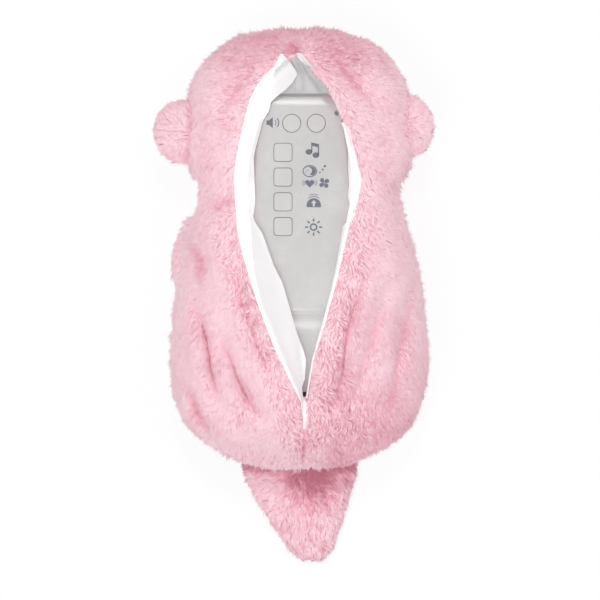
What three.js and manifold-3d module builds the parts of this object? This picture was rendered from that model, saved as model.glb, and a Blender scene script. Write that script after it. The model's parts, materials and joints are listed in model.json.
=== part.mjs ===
// A plush night light: a stuffed otter lying on its front, its back slit open over the control face of
// a sound and light module that sits in a lining pocket. The module's front pushes the belly out and in.
// Millimetres, +Y towards the head, +Z up through the back, floor at z = 0.
// The toy is laid out from its crown at y = 0 towards its tail at minus y, and centred at the end.

import * as THREE from 'three';
import { mergeVertices } from 'three/addons/utils/BufferGeometryUtils.js';
import Module from 'manifold-3d';

const wasm = await Module();
wasm.setup();

// Shared sizes
const gap = 0.3; // between touching pieces
const overrun = 2; // of a cutting tool past the face that it cuts
const beyond = 400; // half size of a tool that cuts everything on one side
const mergeDistance = 0.0005; // vertices closer than this are one
const roundSides = 24; // sides of a large round piece
const smallSides = 8; // sides of a pin, a boss or a screw
const bodySides = 32; // sides of the toy's cross-section
const poleShare = 0.55; // size of the flat at the crown and the rump, of the ring beside it

// Stuffed cover, from the crown to the rump
const toyLength = 267;
const toyHalfWidth = 76.7; // at the hips
const toyHeight = 96; // highest point of the back
const waistLevel = 43; // height at which the toy is widest
const floorCut = 0.5; // depth that the soft body is pressed flat by the floor
const backRoundness = 2.3; // power of the cross-section above the waist level
const bellyRoundness = 2.6; // power below it
const neckPlace = 97.5; // from the crown
const seamGap = 0.3; // between two panels of the cover
const coverSplit = 22; // height of the seam between the back panels and the belly side

// Outline of the cover in shares: way from crown to rump, half width, top and bottom of the height
const outlineShares = [
  [0.012, 0.4, 0.6, 0.29],
  [0.022, 0.52, 0.69, 0.22],
  [0.045, 0.63, 0.78, 0.155],
  [0.068, 0.715, 0.825, 0.115],
  [0.09, 0.775, 0.855, 0.092],
  [0.112, 0.82, 0.872, 0.077],
  [0.135, 0.85, 0.885, 0.067],
  [0.16, 0.87, 0.895, 0.06],
  [0.2, 0.882, 0.905, 0.056],
  [0.245, 0.888, 0.908, 0.056],
  [0.29, 0.88, 0.905, 0.064],
  [0.318, 0.845, 0.899, 0.074],
  [0.34, 0.79, 0.893, 0.084],
  [0.362, 0.768, 0.89, 0.09],
  [0.387, 0.78, 0.895, 0.078],
  [0.431, 0.815, 0.915, 0.035],
  [0.465, 0.852, 0.932, 0.008],
  [0.501, 0.885, 0.947, 0],
  [0.568, 0.936, 0.972, 0],
  [0.614, 0.962, 0.985, 0],
  [0.66, 0.981, 0.994, 0],
  [0.71, 0.994, 1, 0],
  [0.7525, 1, 1, 0],
  [0.797, 0.994, 0.992, 0.003],
  [0.841, 0.972, 0.968, 0.012],
  [0.882, 0.915, 0.92, 0.04],
  [0.911, 0.85, 0.87, 0.075],
  [0.9335, 0.77, 0.815, 0.115],
  [0.9575, 0.67, 0.745, 0.17],
  [0.978, 0.53, 0.665, 0.235],
  [0.991, 0.37, 0.595, 0.3],
];

// Slit in the back
const slitStart = 13; // from the crown
const slitLength = 230;
const slitHalfWidth = 40; // at its widest, under the neck
const slitTop = 130; // height of the cutting tool
const wallStepCount = 4; // steps up a wall of the slit
const slitEndRise = 6; // that the floor of the slit climbs at its two ends

// The slit in shares: way along it, left edge, left fold, right fold, right edge, floor's rise.
// An edge lies on the outside of the cover, and a fold lies at the floor of the slit.
const slitShares = [
  [0, -0.03, -0.01, 0.01, 0.025, 1],
  [0.035, -0.325, -0.22, 0.1, 0.185, 0.85],
  [0.059, -0.495, -0.38, 0.17, 0.26, 0.65],
  [0.092, -0.625, -0.46, 0.34, 0.45, 0.35],
  [0.121, -0.7125, -0.5, 0.49, 0.56, 0],
  [0.14, -0.745, -0.53, 0.54, 0.61, 0],
  [0.202, -0.84, -0.59, 0.69, 0.75, 0],
  [0.282, -0.94, -0.68, 0.735, 0.88, 0],
  [0.343, -1, -0.7, 0.745, 0.955, 0],
  [0.38, -1, -0.695, 0.745, 0.915, 0],
  [0.442, -0.97, -0.7, 0.72, 0.825, 0],
  [0.51, -0.9, -0.52, 0.66, 0.73, 0],
  [0.585, -0.75, -0.33, 0.58, 0.635, 0],
  [0.639, -0.6575, -0.22, 0.51, 0.56, 0],
  [0.714, -0.465, -0.09, 0.4, 0.435, 0],
  [0.771, -0.335, 0, 0.305, 0.33, 0],
  [0.825, -0.21, 0.05, 0.22, 0.24, 0],
  [0.876, -0.1, 0.065, 0.17, 0.19, 0],
  [0.911, -0.03, 0.06, 0.14, 0.155, 0],
  [0.951, 0.03, 0.06, 0.1, 0.12, 0.5],
  [1, 0.065, 0.07, 0.08, 0.085, 1],
];
const seamTurn = 0.013; // radians that the centre back seam leans from the y axis
const seamPlace = 0.3; // of the seam at the slit's start, from the centre line

// Folds in the back of the body: places along each in shares of the cover's half width and length
const foldHalfWidth = 4.6;
const foldDepth = 3.4;
const foldEndShare = 0.25; // width and depth of a fold's ends
const foldSteps = 5;
const slopeStep = 1; // over which the slope of the back is measured
const foldShares = [
  [[-0.776, 0.661], [-0.723, 0.724], [-0.679, 0.801], [-0.622, 0.847]],
  [[-0.614, 0.698], [-0.55, 0.75], [-0.493, 0.791], [-0.404, 0.845], [-0.307, 0.889]],
  [[-0.897, 0.805], [-0.833, 0.856], [-0.703, 0.921]],
  [[-0.509, 0.545], [-0.436, 0.638], [-0.34, 0.717], [-0.186, 0.815]],
  [[0.614, 0.657], [0.558, 0.717], [0.501, 0.768]],
  [[0.808, 0.708], [0.776, 0.764], [0.744, 0.824]],
  [[0.428, 0.62], [0.388, 0.712], [0.323, 0.815], [0.25, 0.875]],
];

// Lining and closure strips along the slit
const liningThickness = 1.2;
const stripThickness = 1.5;
const liningLeftRows = [2, 18]; // first and last row of slitShares that each piece follows
const liningRightRows = [6, 15];
const liningTopRows = [1, 4];
const stripLeftRows = [1, 17];
const stripRightRows = [5, 16];
const liningLeftShares = [0.02, 0.97]; // of the slit's wall that a piece covers, from fold to edge
const liningRightShares = [0.04, 0.96];
const stripLeftShares = [0.52, 0.96];
const stripRightShares = [0.5, 0.95];
const liningTopShares = [0.1, 0.9]; // across the slit, from the left fold to the right fold

// Batteries and their bay in the control housing
const batteryCount = 3;
const batteryRadius = 7.25;
const batteryLength = 49.2;
const batteryNub = 1.3;
const batteryNubRadius = 2.7;
const batteryPitch = 2 * batteryRadius + gap;
const batteryHeadroom = 2.4; // from a battery to the door
const contactThickness = 0.5;
const contactSize = 9;
const contactBridge = 2.5; // height of the strip that joins a side's contacts
const contactSlack = 0.55; // from a contact to the bay's wall
const bayStart = 139; // from the module's top end
const bayFloorThickness = 1.5;
const bayHalfWidth = (batteryLength + batteryNub) / 2 + gap + contactThickness + contactSlack;
const doorEdge = 2; // of the door past the bay's side
const doorHalfWidth = bayHalfWidth + doorEdge;
const doorLip = 1.2; // that the door rests on, inside the bay's opening
const doorScrewEdge = 8.6; // of the door screw from the door's side
const doorScrewPlace = doorHalfWidth - doorScrewEdge;

// Module
const moduleStart = 37; // from the crown to the module's top end
const moduleCentre = 1.5; // of the module from the toy's centre line
const moduleLength = 191;
const moduleSideSpace = 5.4; // from the battery bay to the module's side
const moduleHalfWidth = bayHalfWidth + moduleSideSpace;
const moduleTopHalfWidth = 26.5;
const moduleDepth = 42;
const moduleFront = 24; // height of its front face over the floor
const moduleShoulder = 66; // from its top end to where it is at its full width
const shoulderBend = [0.35, 0.6]; // where the side bends in above the shoulder, in shares of width and way
const moduleCorner = 11; // corner radius in plan
const housingWall = 2;
const housingBevel = 2.5; // round the control face
const controlDepth = housingWall + batteryHeadroom + 2 * batteryRadius + bayFloorThickness + 2 * gap;
const moduleSplit = moduleDepth - controlDepth; // height of the seam between its housings over the front face
const cornerSteps = 4; // faces round a corner of the module
const bevelSteps = 1;

// Lining pocket round the module
const pocketWall = 1;
const pocketFloorGap = 0.3; // from the belly side of the cover to the pocket
const pocketHeadroom = 1.2; // from the control face to the cover over it

// Push buttons, placed from the module's centre line and top end
const buttonProud = 0.5;
const buttonTravel = 0.8;
const buttonFlange = 1; // wider than the cap, all round
const buttonFlangeThickness = 1.2;
const buttonStemRadius = 1.8;
const buttonCornerSteps = 3;
const roundButtonRadius = 5.5;
const roundButtonPlaces = [-6, 9.2];
const roundButtonRow = 19.1;
const squareButtonSize = 11;
const squareButtonCorner = 2;
const squareButtonPlace = -11.4;
const squareButtonRow = 37.1; // first of four
const squareButtonPitch = 15.3;

// Control board and its switches
const boardThickness = 1.6;
const boardHalfWidth = 23.5;
const boardStart = 12;
const boardEnd = 89.5;
const switchSize = 6;
const switchHeight = 3.4;
const switchSlack = 0.2; // left between a pressed button and its switch
const boardBossPlace = 20.7; // of a boss from the centre line
const boardBossRows = [29.5, 86.5];
const boardBossRadius = 2.2;
const pilotRadius = 1.3; // bore that a small screw bites in
const boardPinRadius = 1; // of the pin that a boss sends through the board
const boardPinReach = 1.2; // of a pin past the board
const screwRadius = 0.95;
const screwHeadRadius = 2;
const screwHeadHeight = 1.4;
const screwBite = 4; // of a small screw in its boss

// Case screws through the control housing into the front housing
const caseScrewRadius = 1.2;
const caseScrewBore = 1.6;
const caseScrewHeadRadius = 2.3;
const caseScrewHeadHeight = 2;
const caseScrewRecess = 2.75; // radius of the recess in the control face
const caseScrewColumn = 4;
const caseScrewSeat = 2.6; // thickness under a screw's head
const caseScrewBite = 12;
const caseScrewTopEdge = 4.4; // from the module's side
const caseScrewLowEdge = 5.2;
const caseScrewTopPlace = moduleTopHalfWidth - caseScrewTopEdge;
const caseScrewTopRow = 12.8;
const caseScrewLowPlace = moduleHalfWidth - caseScrewLowEdge;
const caseScrewLowRow = 132.5;
const recessSides = 16;

// Speaker, behind the front face
const speakerRow = 34;
const speakerRadius = 20;
const speakerRim = 1.5;
const speakerBasketRadius = 12;
const speakerDepth = 8;
const speakerWall = 1.2;
const coneRadius = 15;
const coneNeck = 5;
const magnetRadius = 10;
const magnetDepth = 6;
const grilleHoleRadius = 1.8;
const grilleRings = [[0, 1], [6, 6]]; // radius and number of holes
const grilleSides = 6;

// Light
const lightRow = 74;
const lightRadius = 16;
const lightFlange = 2.5;
const lightFlangeThickness = 1.5;
const lampBoardHalfWidth = 21.5;
const lampBoardHalfLength = 16.5;
const lampBoardHeight = 9; // over the front face
const lampBoardThickness = 1.2;
const lampSize = 5;
const lampHeight = 1.4;
const lampSpacing = 9;
const lampPostPlace = 19.5;
const lampPostSpread = 14;
const lampPostRadius = 2;

// Breathing plate, its rack and gears
const plateRow = 115;
const plateRadiusAcross = 18;
const plateRadiusAlong = 20;
const plateFlange = 2;
const plateFlangeThickness = 2;
const plateClearance = 0.6;
const plateTravel = 5;
const plateTop = housingWall + gap + plateFlangeThickness;
const frameWall = 1.8;
const frameDrop = 7.2; // from the control face to the gearbox frame
const frameHigh = moduleDepth - frameDrop; // over the front face
const frameRoof = frameHigh - frameWall;
const rackWidth = 6;
const rackThickness = 4.4; // back to pitch line
const rackClearance = 1; // from the raised rack to the frame's roof
const rackTop = frameRoof - plateTravel - rackClearance; // over the front face
const pinionTeeth = 10;
const rackTeeth = 5;
const rackTeethAbove = 1; // of the gear's axis, at rest
const wheelTeeth = 24;
const motorPinionTeeth = 8;
const toothTipShare = 0.22; // of the pitch
const toothRootShare = 0.54;
const addendumShare = 0.9; // of the gear module
const dedendumShare = 1.3;
const wheelLowClearance = 1.38; // from the raised plate to the wheel
const wheelHighClearance = 1.68; // from the wheel to the frame's roof
const wheelTip = (frameRoof - plateTop - plateTravel - wheelLowClearance - wheelHighClearance) / 2;
const wheelModule = wheelTip / (wheelTeeth / 2 + addendumShare);
const rackShare = 1.25; // size of the rack's teeth, of the wheel's
const gearModule = rackShare * wheelModule;
const gearLevel = plateTop + plateTravel + wheelLowClearance + wheelTip; // of the gear axis
const boreSides = 16; // of a bore that a shaft turns in
const pitchLineFromPlate = 2; // from the plate's centre to the rack's pitch line
const wheelStart = 8; // from the module's centre line
const wheelWidth = 4;
const hubRadius = 2.6;
const axleRadius = 1.5;
const axleBore = 1.85;
const axleOverhang = 1.2;

// Gearbox frame, hung from the control housing
const frameLeft = 7.5; // from the centre line to the frame's outer faces
const frameRight = 7.2;
const frameStart = 90.8; // from the module's top end
const frameEnd = 120.4;
const frameReach = 9; // of its cheeks below the gear axis
const frameLow = gearLevel - frameReach;
const frameHubHole = 3.1;
const frameEarReach = 15;
const frameEarPlace = 11.2;
const frameEarRadius = 3;
const frameEarRows = [111.5, 94.2]; // left and right ear
const leftCheekSpace = 1.8; // from the motor to the left cheek

// Motor
const motorClearance = 0.9; // from the motor to the rack's gear
const motorSides = 20;
const motorLength = 15;
const motorShaftRadius = 1;
const motorShaftDepth = 6;
const motorShaftBore = 1.35;

// Rubber bumper at the low end of the control face
const bumperHalfWidth = 13;
const bumperWidth = 4.2;
const bumperInset = 1.4; // from the door
const bumperDepth = 1.2;
const bumperProud = 0.8;

// Wires
const wireRadius = 0.7;
const wireSides = 6;
const wireSteps = 6;
const wireSag = 1;
const wireBendShare = 0.5; // of the way to the plug, where a wire sags
const plugPlace = 10; // from the centre line
const plugRow = 62;
const plugWidth = 6;
const plugHeight = 4;

// Ears
const earRadiusAcross = 17;
const earRadiusAlong = 18;
const earRadiusUp = 10;
const earPlaceLeft = 71; // from the centre line
const earPlaceRight = 65;
const earRowLeft = 61; // from the crown
const earRowRight = 58;
const earLevel = 50;
const earSegments = [14, 8];

// Arms
const armRadiusAcross = 13;
const armRadiusAlong = 25;
const armRadiusUp = 15;
const armTurn = 0.28; // radians that an arm leans out
const armPlaceLeft = 63;
const armPlaceRight = 51;
const armFromNeck = 38.5;
const armRow = neckPlace + armFromNeck;
const armLevel = 14.5;
const armSegments = [14, 8];

// Feet
const footRadiusAcross = 18;
const footRadiusAlong = 17;
const footRadiusUp = 19;
const footPlace = 41;
const footFromRump = 25;
const footRow = toyLength - footFromRump;
const footLevel = 18;
const footSegments = [14, 8];

// Tail: way along it, half width, half thickness and sideways bend in shares of its sizes
const tailFromRump = 13;
const tailStart = toyLength - tailFromRump; // root axis from the crown
const tailLength = 73;
const tailHalfWidth = 33.5;
const tailHalfThickness = 14;
const tailBend = 7.5;
const tailLiftDegrees = 25;
const tailSides = 16;
const tailRootSteps = 3;
const tailSweepSteps = 2;
const tailClearance = 0.5;
const tailShares = [
  [0, 0.97, 1, 0],
  [0.16, 1, 0.98, 0.02],
  [0.3, 0.955, 0.93, 0.1],
  [0.45, 0.82, 0.84, 0.3],
  [0.6, 0.67, 0.74, 0.52],
  [0.75, 0.52, 0.63, 0.73],
  [0.88, 0.36, 0.5, 0.9],
  [0.96, 0.21, 0.36, 0.98],
];

// Face
const muzzleRadiusAcross = 24;
const muzzleRadiusAlong = 15;
const muzzleRadiusUp = 9;
const muzzleRow = 62;
const noseRadiusAcross = 8;
const noseRadiusAlong = 5;
const noseRadiusUp = 5;
const noseRow = 41;
const noseLevel = 5;
const faceSegments = [16, 8];
const eyePlace = 31;
const eyeHalfLength = 8;
const eyeSag = 4;
const eyeRow = 46;
const eyeThread = 1;
const eyePoints = 7;

// Breathing belly patch
const patchBottom = 1; // over the floor
const patchSlack = 1; // to the cover round it
const patchEdge = 4; // height of its rounded lower edge
const patchSteps = 3; // faces up that edge

// Finishes
const finish = (color, roughness, metalness = 0) =>
  new THREE.MeshStandardMaterial({ color, roughness, metalness });
const plush = finish(0xe8b9c6, 0.95);
const linen = finish(0xf6f4f5, 0.85);
const closure = finish(0xfbfbfb, 0.7);
const stitching = finish(0x4a3238, 0.8);
const noseFabric = finish(0x6b4a50, 0.7);
const casePlastic = finish(0xd6d5d4, 0.45);
const buttonPlastic = finish(0xdddcdc, 0.4);
const innerPlastic = finish(0xc9c7c2, 0.5);
const gearPlastic = finish(0xf1efe6, 0.4);
const blackRubber = finish(0x2b2b2d, 0.8);
const steel = finish(0xb9bcc0, 0.35, 1);
const boardGreen = finish(0x2f6b45, 0.55);
const diffuserWhite = finish(0xfafafa, 0.4);
const speakerPaper = finish(0x2e2e30, 0.9);
const batterySleeve = finish(0x3f7f5b, 0.4, 0.2);
const wireRed = finish(0xa33a34, 0.5);

// Solids and joins

function toSolid(geometry) {
  const bare = geometry.clone();
  bare.deleteAttribute('normal');
  bare.deleteAttribute('uv');
  const merged = mergeVertices(bare, mergeDistance);
  return new wasm.Manifold(
    new wasm.Mesh({
      numProp: 3,
      vertProperties: new Float32Array(merged.attributes.position.array),
      triVerts: new Uint32Array(merged.index.array),
    }),
  );
}

function toGeometry(solid) {
  const made = solid.getMesh();
  const geometry = new THREE.BufferGeometry();
  geometry.setAttribute('position', new THREE.BufferAttribute(made.vertProperties, 3));
  geometry.setIndex(new THREE.BufferAttribute(made.triVerts, 1));
  geometry.computeVertexNormals();
  return geometry;
}

// One solid from a geometry or a solid.
const solidOf = (piece) => (piece.isBufferGeometry ? toSolid(piece) : piece);
const join = (...pieces) => pieces.map(solidOf).reduce((all, piece) => all.add(piece));
const cut = (piece, ...tools) => tools.map(solidOf)
  .reduce((rest, tool) => rest.subtract(tool), solidOf(piece));
const common = (piece, tool) => solidOf(piece).intersect(solidOf(tool));

function named(name, piece, material) {
  const mesh = new THREE.Mesh(toGeometry(solidOf(piece)), material);
  mesh.name = name;
  return mesh;
}

// A box from its two opposite corners.
function box(low, high) {
  const size = high.map((value, axis) => value - low[axis]);
  return new THREE.BoxGeometry(...size).translate(...low.map((value, axis) => value + size[axis] / 2));
}

// An upright cylinder.
function post(x, y, radius, low, high, sides = smallSides) {
  return new THREE.CylinderGeometry(radius, radius, high - low, sides)
    .rotateX(Math.PI / 2)
    .translate(x, y, (low + high) / 2);
}

// An upright oval prism.
function oval(x, y, across, along, low, high) {
  return new THREE.CylinderGeometry(1, 1, high - low, roundSides)
    .rotateX(Math.PI / 2)
    .scale(across, along, 1)
    .translate(x, y, (low + high) / 2);
}

// An upright prism of a plan outline.
function prism(shape, low, high, segments = cornerSteps) {
  return new THREE.ExtrudeGeometry(shape, { depth: high - low, bevelEnabled: false, curveSegments: segments })
    .translate(0, 0, low);
}

// Turns a geometry drawn in the plane of its gear, with its axis on z, so that the axis lies along x.
function alongX(geometry) {
  const turn = new THREE.Matrix4().makeBasis(
    new THREE.Vector3(0, 1, 0),
    new THREE.Vector3(0, 0, 1),
    new THREE.Vector3(1, 0, 0),
  );
  return geometry.applyMatrix4(turn);
}

// A round bar along x.
const bar = (y, z, radius, left, right, sides = smallSides) =>
  alongX(post(y, z, radius, left, right, sides));

// A closed body through rings of points, each ring with as many points, ends closed by their middles.
function loft(rings) {
  const around = rings[0].length;
  const points = rings.flat();
  const faces = [];
  for (let ring = 0; ring + 1 < rings.length; ring += 1) {
    for (let i = 0; i < around; i += 1) {
      const here = ring * around + i;
      const next = ring * around + ((i + 1) % around);
      faces.push(here, next, next + around, here, next + around, here + around);
    }
  }
  const middle = (ring) =>
    ring.reduce((sum, point) => sum.add(point), new THREE.Vector3()).divideScalar(around);
  const first = points.push(middle(rings[0])) - 1;
  const last = points.push(middle(rings.at(-1))) - 1;
  for (let i = 0; i < around; i += 1) {
    const next = (i + 1) % around;
    faces.push(first, next, i);
    faces.push(last, (rings.length - 1) * around + i, (rings.length - 1) * around + next);
  }
  const geometry = new THREE.BufferGeometry().setFromPoints(points);
  geometry.setIndex(faces);
  return geometry;
}

// Stuffed cover

const between = (low, high, share) => low + (high - low) * share;

// The half width, top and bottom of the cover at a distance from the crown.
function coverAt(distance) {
  const way = distance / toyLength;
  const after = outlineShares.findIndex((row) => row[0] >= way);
  const high = outlineShares[after < 0 ? outlineShares.length - 1 : after];
  const low = outlineShares[after < 0 ? outlineShares.length - 1 : Math.max(after - 1, 0)];
  const share = high === low ? 0 : (way - low[0]) / (high[0] - low[0]);
  const [, halfWidth, top, bottom] = low.map((value, column) => between(value, high[column], share));
  return { halfWidth: halfWidth * toyHalfWidth, top: top * toyHeight, bottom: bottom * toyHeight - floorCut };
}

// Height of the cover's surface over a place in plan, on the back or on the belly.
function surfaceAt(x, distance, side) {
  const { halfWidth, top, bottom } = coverAt(distance);
  const power = side > 0 ? backRoundness : bellyRoundness;
  const reach = side > 0 ? top - waistLevel : bottom - waistLevel;
  const across = Math.min(Math.abs(x) / halfWidth, 1);
  return waistLevel + reach * (1 - across ** power) ** (1 / power);
}

// The whole cover, grown by a margin all round.
function coverSolid(margin = 0) {
  const corner = (value, power) => Math.sign(value) * Math.abs(value) ** (2 / power);
  const rings = outlineShares.map(([way, halfWidth, top, bottom], index) => {
    const end = index === 0 ? margin : index === outlineShares.length - 1 ? -margin : 0;
    const points = [];
    for (let i = 0; i < bodySides; i += 1) {
      const angle = (2 * Math.PI * i) / bodySides;
      const power = Math.sin(angle) > 0 ? backRoundness : bellyRoundness;
      const rise = Math.sin(angle) > 0
        ? top * toyHeight - waistLevel + margin
        : waistLevel - bottom * toyHeight + floorCut + margin;
      points.push(new THREE.Vector3(
        corner(Math.cos(angle), power) * (halfWidth * toyHalfWidth + margin),
        end - way * toyLength,
        waistLevel + corner(Math.sin(angle), power) * rise,
      ));
    }
    return points;
  });
  const pole = (y, ring) => ring.map((point) => new THREE.Vector3(
    point.x * poleShare, y, waistLevel + (point.z - waistLevel) * poleShare));
  const crown = pole(margin, rings[0]);
  const rump = pole(-margin - toyLength, rings.at(-1));
  return loft([crown, ...rings, rump]);
}

const floorTool = () => box([-beyond, -beyond, -beyond], [beyond, beyond, 0]);

// The way out of the back at a place in plan.
function outOfBack(x, distance) {
  const rise = (across, along) =>
    surfaceAt(x + across, distance - along, 1) - surfaceAt(x - across, distance + along, 1);
  return new THREE.Vector3(-rise(slopeStep, 0), -rise(0, slopeStep), 2 * slopeStep).normalize();
}

// The tool that presses one fold into the back, a shallow wedge along the fold's line.
function foldTool(shares) {
  const line = new THREE.CatmullRomCurve3(shares.map(([across, way]) =>
    new THREE.Vector3(across * toyHalfWidth, -way * toyLength, 0)));
  const rings = [];
  for (let step = 0; step <= foldSteps; step += 1) {
    const place = line.getPointAt(step / foldSteps);
    const size = between(foldEndShare, 1, Math.sin((Math.PI * step) / foldSteps));
    const out = outOfBack(place.x, -place.y);
    const side = line.getTangentAt(step / foldSteps).cross(out).setLength(size * foldHalfWidth);
    place.z = surfaceAt(place.x, -place.y, 1);
    rings.push([
      place.clone().sub(side),
      place.clone().addScaledVector(out, overrun),
      place.clone().add(side),
      place.clone().addScaledVector(out, -size * foldDepth),
    ]);
  }
  return loft(rings);
}

// The slit's wall on one side at a row: the fold at the floor, the edge at the surface, and the way
// from one to the other with its length and the direction into the slit.
const pocketTop = moduleFront + moduleDepth + pocketHeadroom;
function slitWall(row, side) {
  const [way, leftEdge, leftFold, rightFold, rightEdge, rise] = slitShares[row];
  const distance = slitStart + way * slitLength;
  const edgeX = (side < 0 ? leftEdge : rightEdge) * slitHalfWidth;
  const foldX = (side < 0 ? leftFold : rightFold) * slitHalfWidth;
  const fold = new THREE.Vector3(foldX, -distance, pocketTop + rise * slitEndRise);
  const edge = new THREE.Vector3(edgeX, -distance, surfaceAt(edgeX, distance, 1));
  const along = edge.clone().sub(fold);
  const length = along.length();
  along.normalize();
  const inward = new THREE.Vector3(-side * along.z, 0, side * along.x);
  return { fold, edge, along, length, inward };
}

// Points at even steps up a wall of the slit.
const wallSteps = (place) => Array.from({ length: wallStepCount + 1 }, (_, i) => place(i / wallStepCount));

// The tool that opens the slit, from the floor of the slit to over the back.
function slitTool() {
  const rings = slitShares.map((_, row) => {
    const left = slitWall(row, -1);
    const right = slitWall(row, 1);
    const over = (edge) => new THREE.Vector3(edge.x, edge.y, slitTop);
    const up = wallSteps((share) => right.fold.clone().lerp(right.edge, share));
    const down = wallSteps((share) => left.edge.clone().lerp(left.fold, share));
    return [...up, over(right.edge), over(left.edge), ...down];
  });
  return loft(rings);
}

// A layer of cloth on one wall of the slit, between two rows and two shares of the wall.
function wallLayer(side, [firstRow, lastRow], [low, high], offset, thickness) {
  const rings = [];
  for (let row = firstRow; row <= lastRow; row += 1) {
    const { fold, along, length, inward } = slitWall(row, side);
    const place = (share, depth) => fold.clone()
      .addScaledVector(along, share * length)
      .addScaledVector(inward, depth);
    const ring = [
      ...wallSteps((share) => place(between(low, high, share), offset)),
      ...wallSteps((share) => place(between(high, low, share), offset + thickness)),
    ];
    rings.push(side < 0 ? ring.reverse() : ring);
  }
  return loft(rings);
}

// The cloth that covers the floor of the slit past the module's top end.
function liningTop() {
  const rings = [];
  for (let row = liningTopRows[0]; row <= liningTopRows[1]; row += 1) {
    const left = slitWall(row, -1).fold;
    const right = slitWall(row, 1).fold;
    const place = (share, lift) => left.clone().lerp(right, share).add(new THREE.Vector3(0, 0, lift));
    rings.push([
      place(liningTopShares[0], gap),
      place(liningTopShares[1], gap),
      place(liningTopShares[1], gap + liningThickness),
      place(liningTopShares[0], gap + liningThickness),
    ]);
  }
  return loft(rings);
}

// Module outline

// The module's plan, drawn in by an inset: narrow at the top end, nearly straight below the shoulder.
function modulePlan(inset = 0) {
  const half = moduleHalfWidth - inset;
  const topHalf = moduleTopHalfWidth - inset;
  const corner = moduleCorner - inset;
  const top = -inset;
  const low = inset - moduleLength;
  const shoulder = -moduleShoulder;
  const bendX = between(half, topHalf, shoulderBend[0]);
  const bendY = between(shoulder, top - corner, shoulderBend[1]);
  const shape = new THREE.Shape();
  shape.moveTo(-half + corner, low);
  shape.lineTo(half - corner, low);
  shape.quadraticCurveTo(half, low, half, low + corner);
  shape.lineTo(half, shoulder);
  shape.quadraticCurveTo(bendX, bendY, topHalf, top - corner);
  shape.quadraticCurveTo(topHalf, top, topHalf - corner, top);
  shape.lineTo(corner - topHalf, top);
  shape.quadraticCurveTo(-topHalf, top, -topHalf, top - corner);
  shape.quadraticCurveTo(-bendX, bendY, -half, shoulder);
  shape.lineTo(-half, low + corner);
  shape.quadraticCurveTo(-half, low, -half + corner, low);
  return shape;
}

// Places a geometry of the module in the toy's frame.
const inToy = (geometry) => geometry.translate(moduleCentre, -moduleStart, moduleFront);

const plateY = -plateRow;
const patchAcross = plateRadiusAcross;
const patchAlong = plateRadiusAlong;
const pocketMargin = gap + pocketWall + gap;
const pocketFloor = coverSplit + pocketFloorGap;

const cavityTool = () => inToy(prism(modulePlan(-pocketMargin), coverSplit - moduleFront - overrun,
  pocketTop - moduleFront));
const patchTool = (margin) => inToy(oval(0, plateY, patchAcross + margin, patchAlong + margin,
  -moduleFront - overrun, overrun));

// Limbs

const limb = (radii, segments) => new THREE.SphereGeometry(1, ...segments).scale(...radii);

const tailAxisY = -tailStart;
const tailLevel = tailHalfThickness - floorCut;

// The tail from its rounded root to its tip, grown by a margin.
function tailSolid(margin = 0) {
  const section = (x, y, level, across, up) => {
    const points = [];
    for (let i = 0; i < tailSides; i += 1) {
      const angle = (2 * Math.PI * i) / tailSides;
      points.push(new THREE.Vector3(x + Math.cos(angle) * across, y, level + Math.sin(angle) * up));
    }
    return points;
  };
  const rings = [];
  for (let step = tailRootSteps - 1; step > 0; step -= 1) {
    const angle = (step / tailRootSteps) * (Math.PI / 2);
    rings.push(section(0, tailAxisY + Math.sin(angle) * (tailHalfThickness + margin), tailLevel,
      Math.cos(angle) ** 0.5 * tailShares[0][1] * tailHalfWidth + margin,
      Math.cos(angle) * (tailHalfThickness + margin)));
  }
  tailShares.forEach(([way, across, up, bend]) => {
    const half = up * tailHalfThickness;
    rings.push(section(bend * tailBend, tailAxisY - way * tailLength, half - floorCut,
      across * tailHalfWidth + margin, half + margin));
  });
  return loft(rings);
}

// All places that the tail takes on its way up, with room round it.
function tailSweep() {
  const places = [];
  for (let step = 0; step <= tailSweepSteps; step += 1) {
    const lift = THREE.MathUtils.degToRad(tailLiftDegrees) * (step / tailSweepSteps);
    places.push(tailSolid(tailClearance)
      .translate(0, -tailAxisY, -tailLevel)
      .rotateX(-lift)
      .translate(0, tailAxisY, tailLevel));
  }
  return join(...places);
}

const earSolid = (side, place, row) => limb([earRadiusAcross, earRadiusAlong, earRadiusUp], earSegments)
  .translate(side * place, -row, earLevel);

const armSolid = (side, place, margin = 0) =>
  limb([armRadiusAcross + margin, armRadiusAlong + margin, armRadiusUp + margin], armSegments)
    .rotateZ(side * armTurn)
    .translate(side * place, -armRow, armLevel);

const footSolid = (side, margin = 0) =>
  limb([footRadiusAcross + margin, footRadiusAlong + margin, footRadiusUp + margin], footSegments)
    .translate(side * footPlace, -footRow, footLevel);

// A stitched arc of a closed eye, laid under the face.
function eyeSolid(side) {
  const points = [];
  for (let i = 0; i < eyePoints; i += 1) {
    const share = (2 * i) / (eyePoints - 1) - 1;
    const x = side * eyePlace + share * eyeHalfLength;
    const distance = eyeRow + (1 - share ** 2) * eyeSag;
    points.push(new THREE.Vector3(x, -distance, surfaceAt(x, distance, -1) - gap - eyeThread));
  }
  return tube(new THREE.CatmullRomCurve3(points), eyeThread, eyePoints * 2);
}

// A closed round tube along a curve.
function tube(curve, radius, steps) {
  const section = new THREE.Shape();
  for (let i = 0; i < wireSides; i += 1) {
    const angle = (2 * Math.PI * i) / wireSides;
    const corner = [Math.cos(angle) * radius, Math.sin(angle) * radius];
    if (i === 0) section.moveTo(...corner);
    else section.lineTo(...corner);
  }
  return new THREE.ExtrudeGeometry(section, { steps, bevelEnabled: false, extrudePath: curve });
}

// The panels of the cover, and what is sewn to it

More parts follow.
